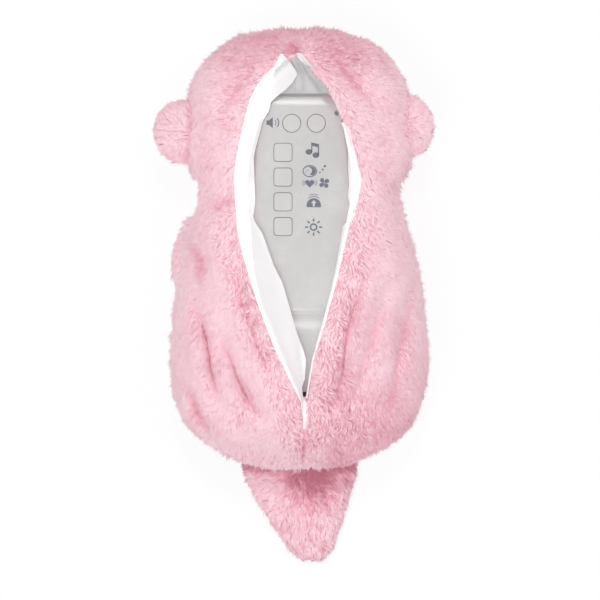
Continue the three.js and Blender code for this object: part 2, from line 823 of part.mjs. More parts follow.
function coverParts() {
  const folds = foldShares.map(foldTool);
  const opened = cut(coverSolid(), floorTool(), slitTool(), cavityTool(), tailSweep(), ...folds);
  const seam = seamGap / 2;
  const leaning = (geometry) => geometry.rotateZ(seamTurn).translate(seamPlace, -slitStart, 0);
  const leftSide = leaning(box([-beyond, -beyond, coverSplit], [-seam, beyond, beyond]));
  const rightSide = leaning(box([seam, -beyond, coverSplit], [beyond, beyond, beyond]));
  const headSide = () => box([-beyond, seam - neckPlace, -beyond], [beyond, beyond, beyond]);
  const bodySide = () => box([-beyond, -beyond, -beyond], [beyond, -seam - neckPlace, beyond]);
  const under = box([-beyond, -beyond, -beyond], [beyond, beyond, coverSplit - gap]);
  const left = common(opened, leftSide);
  const right = common(opened, rightSide);
  const front = common(opened, under);
  const limbs = [-1, 1].flatMap((side) => {
    const arm = armSolid(side, side < 0 ? armPlaceLeft : armPlaceRight, gap);
    const foot = footSolid(side, gap);
    return [arm, arm.clone().translate(side * armRadiusAcross, 0, 0),
      foot, foot.clone().translate(side * footRadiusAcross, -footRadiusAlong, 0)];
  });
  return [
    named('head_back_left', common(left, headSide()), plush),
    named('head_back_right', common(right, headSide()), plush),
    named('body_back_left', cut(common(left, bodySide()), ...limbs), plush),
    named('body_back_right', cut(common(right, bodySide()), ...limbs), plush),
    named('head_front', common(front, headSide()), plush),
    named('body_front', cut(common(front, bodySide()), patchTool(patchSlack), ...limbs), plush),
  ];
}

function limbParts() {
  const cover = coverSolid(gap);
  const floor = floorTool();
  const muzzle = cut(limb([muzzleRadiusAcross, muzzleRadiusAlong, muzzleRadiusUp], faceSegments)
    .translate(0, -muzzleRow, muzzleRadiusUp - floorCut), cover, floor);
  const nose = cut(limb([noseRadiusAcross, noseRadiusAlong, noseRadiusUp], faceSegments)
    .translate(0, -noseRow, noseLevel), cover);
  return [
    named('ear_left', cut(earSolid(-1, earPlaceLeft, earRowLeft), cover), plush),
    named('ear_right', cut(earSolid(1, earPlaceRight, earRowRight), cover), plush),
    named('arm_left', cut(armSolid(-1, armPlaceLeft), floor), plush),
    named('arm_right', cut(armSolid(1, armPlaceRight), floor), plush),
    named('foot_left', cut(footSolid(-1), floor, tailSweep()), plush),
    named('foot_right', cut(footSolid(1), floor, tailSweep()), plush),
    named('tail', cut(tailSolid(), floor), plush),
    named('muzzle', muzzle, plush),
    named('nose', nose, noseFabric),
    named('eye_left', eyeSolid(-1), stitching),
    named('eye_right', eyeSolid(1), stitching),
  ];
}

// The belly patch: an oval cushion with a rounded lower edge.
function patchPart() {
  const top = moduleFront - gap;
  const profile = [new THREE.Vector2(0, patchBottom)];
  for (let step = 0; step <= patchSteps; step += 1) {
    const angle = (step / patchSteps) * (Math.PI / 2);
    profile.push(new THREE.Vector2(
      1 - (patchEdge / patchAcross) * (1 - Math.sin(angle)),
      patchBottom + patchEdge * (1 - Math.cos(angle)),
    ));
  }
  profile.push(new THREE.Vector2(1, top), new THREE.Vector2(0, top));
  const patch = new THREE.LatheGeometry(profile, roundSides)
    .rotateX(Math.PI / 2)
    .scale(patchAcross, patchAlong, 1)
    .translate(moduleCentre, plateY - moduleStart, 0);
  return named('belly_patch', patch, plush);
}

function liningParts() {
  const stripOffset = gap + liningThickness + gap;
  const outer = inToy(prism(modulePlan(-gap - pocketWall), pocketFloor - moduleFront, moduleDepth));
  const inner = inToy(prism(modulePlan(-gap), pocketFloor + pocketWall - moduleFront, moduleDepth + overrun));
  return [
    named('lining_pocket', cut(outer, inner, patchTool(patchSlack)), linen),
    named('lining_left', wallLayer(-1, liningLeftRows, liningLeftShares, gap, liningThickness), linen),
    named('lining_right', wallLayer(1, liningRightRows, liningRightShares, gap, liningThickness), linen),
    named('lining_top', liningTop(), linen),
    named('strip_left',
      wallLayer(-1, stripLeftRows, stripLeftShares, stripOffset, stripThickness), closure),
    named('strip_right',
      wallLayer(1, stripRightRows, stripRightShares, stripOffset, stripThickness), closure),
  ];
}

// Buttons

const faceUnder = moduleDepth - housingWall;
const flangeTop = faceUnder - gap;
const flangeLow = flangeTop - buttonFlangeThickness;
const capTop = moduleDepth + buttonProud;
const boardTop = flangeLow - gap - buttonTravel - switchSlack - switchHeight;
const stemLow = boardTop + switchHeight + switchSlack + buttonTravel;
const boardLow = boardTop - boardThickness;

function roundedSquare(x, y, size, corner) {
  const half = size / 2;
  const shape = new THREE.Shape();
  shape.moveTo(x - half + corner, y - half);
  shape.lineTo(x + half - corner, y - half);
  shape.quadraticCurveTo(x + half, y - half, x + half, y - half + corner);
  shape.lineTo(x + half, y + half - corner);
  shape.quadraticCurveTo(x + half, y + half, x + half - corner, y + half);
  shape.lineTo(x - half + corner, y + half);
  shape.quadraticCurveTo(x - half, y + half, x - half, y + half - corner);
  shape.lineTo(x - half, y - half + corner);
  shape.quadraticCurveTo(x - half, y - half, x - half + corner, y - half);
  return shape;
}

const squareNames = ['button_music', 'button_sleep_sounds', 'button_breathing', 'button_light'];
const buttons = [
  ...['button_volume_down', 'button_volume_up'].map((name, i) => ({
    name, x: roundButtonPlaces[i], y: -roundButtonRow, round: true,
  })),
  ...squareNames.map((name, i) => ({
    name, x: squareButtonPlace, y: -squareButtonRow - i * squareButtonPitch, round: false,
  })),
];

// A button's plan, grown by a margin, between two heights.
function buttonPrism({ x, y, round }, margin, low, high) {
  return round
    ? post(x, y, roundButtonRadius + margin, low, high, roundSides)
    : prism(roundedSquare(x, y, squareButtonSize + 2 * margin, squareButtonCorner + margin), low, high,
      buttonCornerSteps);
}

function buttonParts() {
  return buttons.map((button) => {
    const cap = buttonPrism(button, 0, flangeLow, capTop);
    const flange = buttonPrism(button, buttonFlange, flangeLow, flangeTop);
    const stem = post(button.x, button.y, buttonStemRadius, stemLow, flangeTop);
    return named(button.name, join(cap, flange, stem), buttonPlastic);
  });
}

// Housings

const caseScrewPlaces = [-1, 1].flatMap((side) => [
  [side * caseScrewTopPlace, -caseScrewTopRow],
  [side * caseScrewLowPlace, -caseScrewLowRow],
]);
const boardBossPlaces = [-1, 1].flatMap((side) => boardBossRows.map((row) => [side * boardBossPlace, -row]));
const earPlaces = [[-frameEarPlace, -frameEarRows[0]], [frameEarPlace, -frameEarRows[1]]];
const bayEnd = bayStart + batteryCount * batteryPitch + 2 * gap;
const bayFloor = moduleSplit + gap;
const caseHeadLow = moduleSplit + caseScrewSeat + gap;
const bumperStart = bayEnd + bumperInset;
const doorScrewRow = bayEnd + housingWall / 2;

function controlHousing() {
  const bevelled = new THREE.ExtrudeGeometry(modulePlan(housingBevel), {
    depth: moduleDepth - moduleSplit - housingBevel + overrun,
    bevelEnabled: true,
    bevelThickness: housingBevel,
    bevelSize: housingBevel,
    bevelSegments: bevelSteps,
    curveSegments: cornerSteps,
  }).translate(0, 0, moduleSplit - overrun);
  const shell = cut(bevelled,
    prism(modulePlan(-overrun), moduleSplit - 2 * overrun - housingBevel, moduleSplit),
    prism(modulePlan(housingWall), moduleSplit - overrun, faceUnder));
  const bay = box([-bayHalfWidth - housingWall, -bayEnd - housingWall, bayFloor],
    [bayHalfWidth + housingWall, -bayStart + housingWall, moduleDepth - gap]);
  const columns = caseScrewPlaces.map(([x, y]) => (
    post(x, y, caseScrewColumn, moduleSplit, moduleDepth - gap)));
  const bosses = [
    ...boardBossPlaces.map(([x, y]) => post(x, y, boardBossRadius, boardTop + gap, moduleDepth - gap)),
    ...boardBossPlaces.map(([x, y]) => (
      post(x, y, boardPinRadius, boardLow - boardPinReach, moduleDepth - gap))),
    ...earPlaces.map(([x, y]) => post(x, y, frameEarRadius, frameHigh + gap, moduleDepth - gap)),
  ];
  const inside = common(join(...columns, ...bosses, bay),
    prism(modulePlan(housingWall / 2), 0, moduleDepth - gap));
  const openings = [
    box([-bayHalfWidth, -bayEnd, bayFloor + bayFloorThickness],
      [bayHalfWidth, -bayStart, moduleDepth + overrun]),
    box([-doorHalfWidth - gap, -bayEnd - doorLip - gap, faceUnder - gap],
      [doorHalfWidth + gap, -bayStart + doorLip + gap, moduleDepth + overrun]),
    box([-bumperHalfWidth - gap, -bumperStart - bumperWidth - gap, moduleDepth - bumperDepth - gap],
      [bumperHalfWidth + gap, -bumperStart + gap, moduleDepth + overrun]),
    ...caseScrewPlaces.flatMap(([x, y]) => [
      post(x, y, caseScrewBore, moduleSplit - overrun, moduleDepth),
      post(x, y, caseScrewRecess, moduleSplit + caseScrewSeat, moduleDepth + overrun, recessSides),
    ]),
    ...earPlaces.map(([x, y]) => post(x, y, pilotRadius, frameHigh - overrun, frameHigh + screwBite + gap)),
    ...buttons.map((button) => buttonPrism(button, gap, faceUnder - overrun, moduleDepth + overrun)),
    post(doorScrewPlace, -doorScrewRow, pilotRadius, faceUnder - screwBite - gap, moduleDepth + overrun),
  ];
  const doorBoss = post(doorScrewPlace, -doorScrewRow, boardBossRadius, faceUnder - screwBite - 2 * gap,
    faceUnder - gap);
  return named('control_housing', cut(join(shell, inside, doorBoss), ...openings), casePlastic);
}

function batteryDoor() {
  const plate = box([-doorHalfWidth, -bayEnd - doorLip, faceUnder],
    [doorHalfWidth, -bayStart + doorLip, moduleDepth - gap]);
  const hole = post(doorScrewPlace, -doorScrewRow, pilotRadius, faceUnder - overrun, moduleDepth + overrun);
  return named('battery_door', cut(plate, hole), casePlastic);
}

function frontHousing() {
  const high = moduleSplit - gap;
  const tub = new THREE.ExtrudeGeometry(modulePlan(housingBevel), {
    depth: high - housingBevel + overrun,
    bevelEnabled: true,
    bevelThickness: housingBevel,
    bevelSize: housingBevel,
    bevelSegments: bevelSteps,
    curveSegments: cornerSteps,
  }).translate(0, 0, housingBevel);
  const shell = cut(tub,
    prism(modulePlan(-overrun), high, high + 2 * overrun + housingBevel),
    prism(modulePlan(housingWall), housingWall, high + overrun));
  const columns = caseScrewPlaces.map(([x, y]) => post(x, y, caseScrewColumn, housingWall / 2, high));
  const posts = [-1, 1].flatMap((side) => [-1, 1].map((end) => post(side * lampPostPlace,
    -lightRow + end * lampPostSpread, lampPostRadius, housingWall / 2, lampBoardHeight - gap)));
  const inside = common(join(...columns, ...posts), prism(modulePlan(housingWall / 2), 0, high));
  const grille = grilleRings.flatMap(([radius, count]) => Array.from({ length: count }, (_, i) => {
    const angle = (2 * Math.PI * i) / count;
    return post(radius * Math.cos(angle), -speakerRow + radius * Math.sin(angle), grilleHoleRadius, -overrun,
      housingWall + overrun / 2, grilleSides);
  }));
  const openings = [
    post(0, -lightRow, lightRadius + gap, -overrun, housingWall + overrun / 2, roundSides),
    oval(0, plateY, plateRadiusAcross + plateClearance, plateRadiusAlong + plateClearance, -overrun,
      housingWall + overrun / 2),
    ...caseScrewPlaces.map(([x, y]) => post(x, y, caseScrewBore, high - caseScrewBite - gap, high + overrun)),
    ...grille,
  ];
  return named('front_housing', cut(join(shell, inside), ...openings), casePlastic);
}

function screwParts() {
  const caseScrews = caseScrewPlaces.map(([x, y], i) => named(`case_screw_${i + 1}`, join(
    post(x, y, caseScrewRadius, moduleSplit - caseScrewBite, caseHeadLow + caseScrewHeadHeight / 2),
    post(x, y, caseScrewHeadRadius, caseHeadLow, caseHeadLow + caseScrewHeadHeight),
  ), steel));
  const seat = frameRoof - gap;
  const gearboxScrews = earPlaces.map(([x, y], i) => named(`gearbox_screw_${i + 1}`, join(
    post(x, y, screwRadius, seat - screwHeadHeight / 2, frameHigh + screwBite),
    post(x, y, screwHeadRadius, seat - screwHeadHeight, seat),
  ), steel));
  const doorScrew = join(
    post(doorScrewPlace, -doorScrewRow, screwRadius, faceUnder - screwBite, moduleDepth),
    post(doorScrewPlace, -doorScrewRow, screwHeadRadius, moduleDepth, moduleDepth + screwHeadHeight / 2),
  );
  return [...caseScrews, ...gearboxScrews, named('door_screw', doorScrew, steel)];
}

// Electronics

function boardParts() {
  const board = cut(
    box([-boardHalfWidth, -boardEnd, boardLow], [boardHalfWidth, -boardStart, boardTop]),
    ...boardBossPlaces.map(([x, y]) => post(x, y, pilotRadius, boardLow - overrun, boardTop + overrun)),
    ...caseScrewPlaces.map(([x, y]) => (
      post(x, y, caseScrewColumn + 2 * gap, boardLow - overrun, boardTop + overrun))),
  );
  const switches = buttons.map(({ x, y }) => box(
    [x - switchSize / 2, y - switchSize / 2, boardTop - boardThickness / 2],
    [x + switchSize / 2, y + switchSize / 2, boardTop + switchHeight],
  ));
  return [named('control_board', join(board, ...switches), boardGreen)];
}

function lathe(profile, sides = roundSides) {
  const points = profile.map(([radius, height]) => new THREE.Vector2(radius, height));
  return new THREE.LatheGeometry(points, sides).rotateX(Math.PI / 2);
}

function speakerParts() {
  const rim = housingWall + gap;
  const back = rim + speakerRim + speakerDepth;
  const frame = lathe([
    [coneRadius + gap, rim], [speakerRadius, rim], [speakerRadius, rim + speakerRim],
    [coneRadius + 2 * speakerWall, rim + speakerRim], [speakerBasketRadius, back],
    [coneNeck + gap, back], [coneNeck + gap, back - speakerWall],
    [speakerBasketRadius - speakerWall, back - speakerWall], [coneRadius + gap, rim + speakerRim],
    [coneRadius + gap, rim],
  ]);
  const cone = lathe([
    [0, back - speakerWall - gap], [coneNeck, back - speakerWall - gap], [coneRadius, rim + speakerWall],
    [coneRadius, rim], [coneNeck, back - 2 * speakerWall - gap], [0, back - 2 * speakerWall - gap],
  ].reverse());
  const magnet = post(0, 0, magnetRadius, back + gap, back + gap + magnetDepth, roundSides);
  const place = (geometry) => geometry.translate(0, -speakerRow, 0);
  return [
    named('speaker_frame', place(frame), steel),
    named('speaker_cone', place(cone), speakerPaper),
    named('speaker_magnet', place(magnet), steel),
  ];
}

function lightParts() {
  const diffuser = join(
    post(0, -lightRow, lightRadius, 0, housingWall + gap + lightFlangeThickness, roundSides),
    post(0, -lightRow, lightRadius + lightFlange, housingWall + gap, housingWall + gap + lightFlangeThickness,
      roundSides),
  );
  const board = box([-lampBoardHalfWidth, -lightRow - lampBoardHalfLength, lampBoardHeight],
    [lampBoardHalfWidth, -lightRow + lampBoardHalfLength, lampBoardHeight + lampBoardThickness]);
  const lamps = [-1, 0, 1].map((place) => box(
    [place * lampSpacing - lampSize / 2, -lightRow - lampSize / 2, lampBoardHeight - lampHeight],
    [place * lampSpacing + lampSize / 2, -lightRow + lampSize / 2, lampBoardHeight + lampBoardThickness / 2],
  ));
  return [
    named('light_diffuser', diffuser, diffuserWhite),
    named('lamp_board', join(board, ...lamps), boardGreen),
  ];
}

// Breathing drive

const pinionRadius = (gearModule * pinionTeeth) / 2;
const wheelRadius = (wheelModule * wheelTeeth) / 2;
const motorPinionRadius = (wheelModule * motorPinionTeeth) / 2;
const pitchLineY = plateY + pitchLineFromPlate;
const gearAxisY = pitchLineY + pinionRadius;
const motorAxisY = gearAxisY + wheelRadius + motorPinionRadius;
const motorRadius = motorAxisY - gearAxisY - pinionRadius - addendumShare * gearModule - motorClearance;
const motorFace = frameRight - frameWall - gap;

// A spur gear in its own plane; a turn of 0 has a tooth on the plane's first axis.
function gearShape(teeth, size, turn) {
  const radius = (teeth * size) / 2;
  const pitchAngle = (2 * Math.PI) / teeth;
  const shape = new THREE.Shape();
  const levels = [
    [-toothRootShare, -dedendumShare], [-toothTipShare, addendumShare],
    [toothTipShare, addendumShare], [toothRootShare, -dedendumShare],
  ];
  for (let tooth = 0; tooth < teeth; tooth += 1) {
    levels.forEach(([side, height], i) => {
      const angle = (tooth + turn + side / 2) * pitchAngle;
      const reach = radius + height * size;
      const corner = [Math.cos(angle) * reach, Math.sin(angle) * reach];
      if (tooth === 0 && i === 0) shape.moveTo(...corner);
      else shape.lineTo(...corner);
    });
  }
  return shape;
}

const gearPrism = (shape, y, left, right) => alongX(prism(shape, left, right)
  .translate(y, gearLevel, 0));

// The rack: teeth towards the gear, a gap between two teeth level with the gear's axis.
function rackSolid() {
  const pitch = Math.PI * gearModule;
  const tip = pitchLineY + addendumShare * gearModule;
  const root = pitchLineY - dedendumShare * gearModule;
  const back = pitchLineY - rackThickness;
  const low = plateTop - plateFlangeThickness / 2;
  const shape = new THREE.Shape();
  shape.moveTo(back, low);
  shape.lineTo(root, low);
  const firstTooth = gearLevel - (rackTeeth - rackTeethAbove - 0.5) * pitch;
  for (let tooth = 0; tooth < rackTeeth; tooth += 1) {
    const middle = firstTooth + tooth * pitch;
    shape.lineTo(root, middle - (toothRootShare / 2) * pitch);
    shape.lineTo(tip, middle - (toothTipShare / 2) * pitch);
    shape.lineTo(tip, middle + (toothTipShare / 2) * pitch);
    shape.lineTo(root, middle + (toothRootShare / 2) * pitch);
  }
  shape.lineTo(root, rackTop);
  shape.lineTo(back, rackTop);
  return alongX(prism(shape, -rackWidth / 2, rackWidth / 2));
}

function driveParts() {
  const plate = join(
    oval(0, plateY, plateRadiusAcross, plateRadiusAlong, 0, plateTop),
    oval(0, plateY, plateRadiusAcross + plateFlange, plateRadiusAlong + plateFlange,
      housingWall + gap, plateTop),
    rackSolid(),
  );
  const pinionHalf = rackWidth / 2 + gap / 2;
  const gear = cut(
    join(
      gearPrism(gearShape(pinionTeeth, gearModule, 0), gearAxisY, -pinionHalf, pinionHalf),
      bar(gearAxisY, gearLevel, hubRadius, -pinionHalf, wheelStart + wheelWidth / 2),
      gearPrism(gearShape(wheelTeeth, wheelModule, 0.5), gearAxisY, wheelStart, wheelStart + wheelWidth),
    ),
    bar(gearAxisY, gearLevel, axleBore, -beyond, beyond, boreSides),
  );
  const axle = bar(gearAxisY, gearLevel, axleRadius, -frameLeft - axleOverhang,
    wheelStart + wheelWidth + axleOverhang);
  const pinion = join(
    gearPrism(gearShape(motorPinionTeeth, wheelModule, 0), motorAxisY, wheelStart, wheelStart + wheelWidth),
    bar(motorAxisY, gearLevel, motorShaftRadius, motorFace - motorShaftDepth, wheelStart + wheelWidth),
  );
  const motor = cut(
    bar(motorAxisY, gearLevel, motorRadius, motorFace - motorLength, motorFace, motorSides),
    bar(motorAxisY, gearLevel, motorShaftBore, motorFace - motorShaftDepth - gap, motorFace + overrun),
  );
  return [
    named('breathing_plate', plate, innerPlastic),
    named('drive_gear', gear, gearPlastic),
    named('gear_axle', axle, steel),
    named('motor_pinion', pinion, gearPlastic),
    named('motor', motor, steel),
    gearboxFrame(),
  ];
}

function gearboxFrame() {
  const cheekLeft = box([-frameLeft, -frameEnd, frameLow],
    [-frameLeft + frameWall, motorAxisY - motorRadius - leftCheekSpace, frameHigh]);
  const cheekRight = box([frameRight - frameWall, -frameEnd, frameLow], [frameRight, -frameStart, frameHigh]);
  const back = box([-frameLeft, -frameEnd, frameLow], [frameRight, -frameEnd + frameWall, frameHigh]);
  const roof = box([-frameLeft, -frameEnd, frameRoof], [frameRight, -frameStart, frameHigh]);
  const ears = [
    box([-frameEarReach, -frameEarRows[0] - frameEarRadius, frameRoof],
      [0, -frameEarRows[0] + frameEarRadius, frameHigh]),
    box([0, -frameEarRows[1] - frameEarRadius, frameRoof],
      [frameEarReach, -frameEarRows[1] + frameEarRadius, frameHigh]),
  ];
  const holes = [
    ...earPlaces.map(([x, y]) => post(x, y, pilotRadius, frameRoof - overrun, frameHigh + overrun)),
    bar(gearAxisY, gearLevel, axleRadius + gap, -beyond, 0),
    bar(gearAxisY, gearLevel, frameHubHole, 0, beyond, boreSides),
    bar(motorAxisY, gearLevel, motorShaftBore, 0, beyond),
  ];
  const frame = join(cheekLeft, cheekRight, back, roof, ...ears);
  return named('gearbox_frame', cut(frame, ...holes), innerPlastic);
}

// Batteries

const batteryLevel = bayFloor + bayFloorThickness + gap + batteryRadius;
const batteryRows = Array.from({ length: batteryCount },
  (_, i) => -bayStart - gap - (i + 0.5) * batteryPitch);

function batteryParts() {
  const cells = batteryRows.map((y, i) => {
    const side = i % 2 ? -1 : 1;
    const end = (batteryLength + batteryNub) / 2;
    const low = side > 0 ? -end : -end + batteryNub;
    const nubLow = side > 0 ? 0 : -end;
    const cell = join(
      bar(y, batteryLevel, batteryRadius, low, low + batteryLength, roundSides),
      bar(y, batteryLevel, batteryNubRadius, nubLow, nubLow + end),
    );
    return named(`battery_${i + 1}`, cell, batterySleeve);
  });
  const start = (batteryLength + batteryNub) / 2 + gap;
  const contacts = [-1, 1].map((side) => {
    const [near, far] = [side * start, side * (start + contactThickness)].sort((a, b) => a - b);
    const pads = batteryRows.map((y) => box([near, y - contactSize / 2, batteryLevel - contactSize / 2],
      [far, y + contactSize / 2, batteryLevel + contactSize / 2]));
    const bridge = box([near, batteryRows.at(-1), batteryLevel - contactSize / 2],
      [far, batteryRows[0], batteryLevel - contactSize / 2 + contactBridge]);
    return named(`battery_contact_${side < 0 ? 'left' : 'right'}`, join(...pads, bridge), steel);
  });
  return [...cells, ...contacts];
}

function bumperPart() {
  const low = moduleDepth - bumperDepth;
  const pad = box([-bumperHalfWidth, -bumperStart - bumperWidth, low],
    [bumperHalfWidth, -bumperStart, moduleDepth + bumperProud]);
  return named('end_bumper', pad, blackRubber);
}

// Wires from a plug under the board to the speaker, the lamp board and the motor.
function wirePart() {
  const plugTop = boardLow - gap;
  const plugLow = plugTop - plugHeight;
  const plug = box([-plugPlace - plugWidth / 2, -plugRow - plugWidth / 2, plugLow],
    [-plugPlace + plugWidth / 2, -plugRow + plugWidth / 2, plugTop]);
  const magnetTop = housingWall + 2 * gap + speakerRim + speakerDepth + magnetDepth;
  const lampTop = lampBoardHeight + lampBoardThickness;
  const motorBack = motorFace - motorLength - gap - wireRadius;
  const starts = [
    [0, -speakerRow, magnetTop + gap + wireRadius],
    [-plugPlace, -lightRow, lampTop + gap + wireRadius],
    [motorBack, motorAxisY, gearLevel],
  ];
  const wires = starts.map(([x, y, z]) => tube(new THREE.CatmullRomCurve3([
    new THREE.Vector3(x, y, z),
    new THREE.Vector3(between(x, -plugPlace, wireBendShare), between(y, -plugRow, wireBendShare),
      between(z, plugLow, wireBendShare) - wireSag),
    new THREE.Vector3(-plugPlace, -plugRow, plugLow + plugHeight / 2),
  ]), wireRadius, wireSteps));
  return named('wire_harness', join(plug, ...wires), wireRed);
}

// Assembly

const toy = new THREE.Group();
toy.add(...coverParts(), ...limbParts(), patchPart(), ...liningParts());

const soundModule = new THREE.Group();
soundModule.position.set(moduleCentre, -moduleStart, moduleFront);
soundModule.add(
  controlHousing(), frontHousing(), batteryDoor(), ...buttonParts(), ...screwParts(), ...boardParts(),
  ...speakerParts(), ...lightParts(), ...driveParts(), ...batteryParts(), bumperPart(), wirePart(),
);
toy.add(soundModule);

// The part's origin is the middle of its footprint on the floor.
toy.updateMatrixWorld(true);
const extent = new THREE.Box3().setFromObject(toy, true);
const middle = extent.getCenter(new THREE.Vector3());
toy.position.set(-middle.x, -middle.y, -extent.min.z);

export default toy;
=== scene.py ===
"""A plush night light: a stuffed otter on its front, its back slit open over a sound and light module.

Sizes are in millimetres and turned into metres where a mesh is written. +Y is towards the head, +Z is up
through the back, and the floor is at z = 0.
"""

from __future__ import annotations

import json
import logging
import math
from dataclasses import dataclass, field
from enum import Enum
from typing import Callable, Sequence

import bmesh
import bpy
import numpy as np
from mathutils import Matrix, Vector
from mathutils.kdtree import KDTree

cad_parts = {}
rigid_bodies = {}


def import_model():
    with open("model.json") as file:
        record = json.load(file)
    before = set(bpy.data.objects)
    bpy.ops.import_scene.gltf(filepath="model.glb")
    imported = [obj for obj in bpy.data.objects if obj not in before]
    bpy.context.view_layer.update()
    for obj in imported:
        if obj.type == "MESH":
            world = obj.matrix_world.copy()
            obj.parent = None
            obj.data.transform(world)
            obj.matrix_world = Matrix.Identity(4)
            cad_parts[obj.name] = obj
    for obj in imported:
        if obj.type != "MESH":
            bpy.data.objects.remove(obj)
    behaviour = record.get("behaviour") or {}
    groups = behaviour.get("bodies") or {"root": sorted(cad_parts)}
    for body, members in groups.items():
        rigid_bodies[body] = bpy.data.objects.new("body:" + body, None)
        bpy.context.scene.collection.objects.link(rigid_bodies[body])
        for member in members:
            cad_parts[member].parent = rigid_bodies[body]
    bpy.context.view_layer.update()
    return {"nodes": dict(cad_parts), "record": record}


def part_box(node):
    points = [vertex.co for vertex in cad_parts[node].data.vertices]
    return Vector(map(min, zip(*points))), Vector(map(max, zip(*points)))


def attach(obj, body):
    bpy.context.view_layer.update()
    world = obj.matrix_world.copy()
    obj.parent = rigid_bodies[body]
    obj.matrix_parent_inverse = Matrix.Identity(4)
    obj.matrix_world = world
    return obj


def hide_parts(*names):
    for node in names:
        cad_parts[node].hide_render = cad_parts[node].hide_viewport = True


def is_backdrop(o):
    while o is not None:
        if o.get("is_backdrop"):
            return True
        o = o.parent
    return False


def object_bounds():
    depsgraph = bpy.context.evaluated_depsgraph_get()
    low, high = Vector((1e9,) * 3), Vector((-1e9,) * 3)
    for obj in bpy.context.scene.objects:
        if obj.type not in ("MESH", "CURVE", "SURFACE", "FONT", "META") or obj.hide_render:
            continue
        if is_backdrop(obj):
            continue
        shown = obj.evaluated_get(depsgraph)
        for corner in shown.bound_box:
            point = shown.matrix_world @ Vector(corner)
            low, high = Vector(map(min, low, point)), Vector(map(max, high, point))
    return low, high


LOG = logging.getLogger("night_light")
MM = 0.001
PIXEL = 0.62
PICTURE_CENTRE = (294.16, 294.55)
MAP = "OFBake"
Points = np.ndarray
Place = tuple[float, float]
Colour = tuple[float, float, float]
Object = bpy.types.Object
Mesh = bpy.types.Mesh
Shape = bmesh.types.BMesh
Material = bpy.types.Material
Finishes = dict[str, Material]


class Side(Enum):
    """A side of the toy seen from behind, with the head up."""

    LEFT = -1
    RIGHT = 1


def linear(red: float, green: float, blue: float) -> tuple[float, float, float, float]:
    """A colour written in 0 to 255 as linear light.

    Args:
        red: Red share.
        green: Green share.
        blue: Blue share.

    Returns:
        The colour with its alpha.
    """
    shares = [value / 255 for value in (red, green, blue)]
    light = [share / 12.92 if share <= 0.04045 else ((share + 0.055) / 1.055) ** 2.4 for share in shares]
    return (*light, 1.0)


def unit(vectors: Points) -> Points:
    """Vectors of length one, one to a row."""
    return vectors / np.maximum(np.linalg.norm(vectors, axis=1, keepdims=True), 1e-9)


def ease(values: Points, low: float, high: float) -> Points:
    """A smooth rise from 0 at low to 1 at high."""
    share = np.clip((values - low) / (high - low), 0, 1)
    return share * share * (3 - 2 * share)


def bell(values: Points, width: float) -> Points:
    """A smooth bump: 1 at 0, and 0.37 at a width from it."""
    return np.exp(-((values / width) ** 2))


def from_rows(rows: Sequence[Sequence[float]], way: Points, *columns: int) -> list[Points]:
    """Reads columns of a table between its rows.

    Args:
        rows: The rows, each with its share of the way first.
        way: The shares that are wanted.
        columns: The columns that are wanted.

    Returns:
        Each column's values at the shares.
    """
    table = np.array(rows)
    return [np.interp(way, table[:, 0], table[:, column]) for column in columns]


def waves(points: Points, size: float, seed: int, count: int = 14) -> Points:
    """Smooth noise as a sum of waves, about -1 to 1.

    Args:
        points: Places, one to a row.
        size: Length of a wave.
        seed: Seed of the waves.
        count: How many waves are added.

    Returns:
        A value at each place.
    """
    rng = np.random.default_rng(seed)
    ways = unit(rng.normal(size=(count, points.shape[1])))
    reach = 2 * math.pi / (size * rng.uniform(0.6, 1.6, count))
    turns = rng.uniform(0, 2 * math.pi, count)
    return np.sin(points @ (ways * reach[:, None]).T + turns).sum(axis=1) / math.sqrt(count)


def line_distance(points: Points, line: Sequence[Place]) -> tuple[Points, Points]:
    """How far places in plan are from a line of points.

    Args:
        points: Places in plan, one to a row.
        line: The line's points.

    Returns:
        The distance of each place, and the share of the line's length where it is nearest.
    """
    ends = np.array(line, float)
    lengths = np.linalg.norm(np.diff(ends, axis=0), axis=1)
    starts = np.concatenate([[0], np.cumsum(lengths)])
    best = np.full(len(points), np.inf)
    share = np.zeros(len(points))
    for index, length in enumerate(lengths):
        way = (ends[index + 1] - ends[index]) / length
        along = np.clip((points - ends[index]) @ way, 0, length)
        gap = np.linalg.norm(points - ends[index] - along[:, None] * way, axis=1)
        nearer = gap < best
        best = np.where(nearer, gap, best)
        share = np.where(nearer, (starts[index] + along) / starts[-1], share)
    return best, share


def from_picture(line: Sequence[Place]) -> list[Place]:
    """Places in the picture as places in plan, in millimetres."""
    return [((x - PICTURE_CENTRE[0]) * PIXEL, (PICTURE_CENTRE[1] - y) * PIXEL) for x, y in line]


class Value:
    """A socket of a shader, so that shader maths reads as Python."""

    def __init__(self, look: Look, socket: bpy.types.NodeSocket) -> None:
        """Wraps a socket.

        Args:
            look: The look that the socket's node is in.
            socket: The socket.
        """
        self.look = look
        self.socket = socket

    def _with(self, operation: str, first: object, second: object) -> Value:
        """A Math node on two values."""
        return self.look.node("ShaderNodeMath", {"operation": operation}, {0: first, 1: second})

    def __add__(self, other: object) -> Value:
        """The sum."""
        return self._with("ADD", self, other)

    __radd__ = __add__

    def __mul__(self, other: object) -> Value:
        """The product."""
        return self._with("MULTIPLY", self, other)

    __rmul__ = __mul__

    def __sub__(self, other: object) -> Value:
        """This less the other."""
        return self._with("SUBTRACT", self, other)

    def __rsub__(self, other: object) -> Value:
        """The other less this."""
        return self._with("SUBTRACT", other, self)


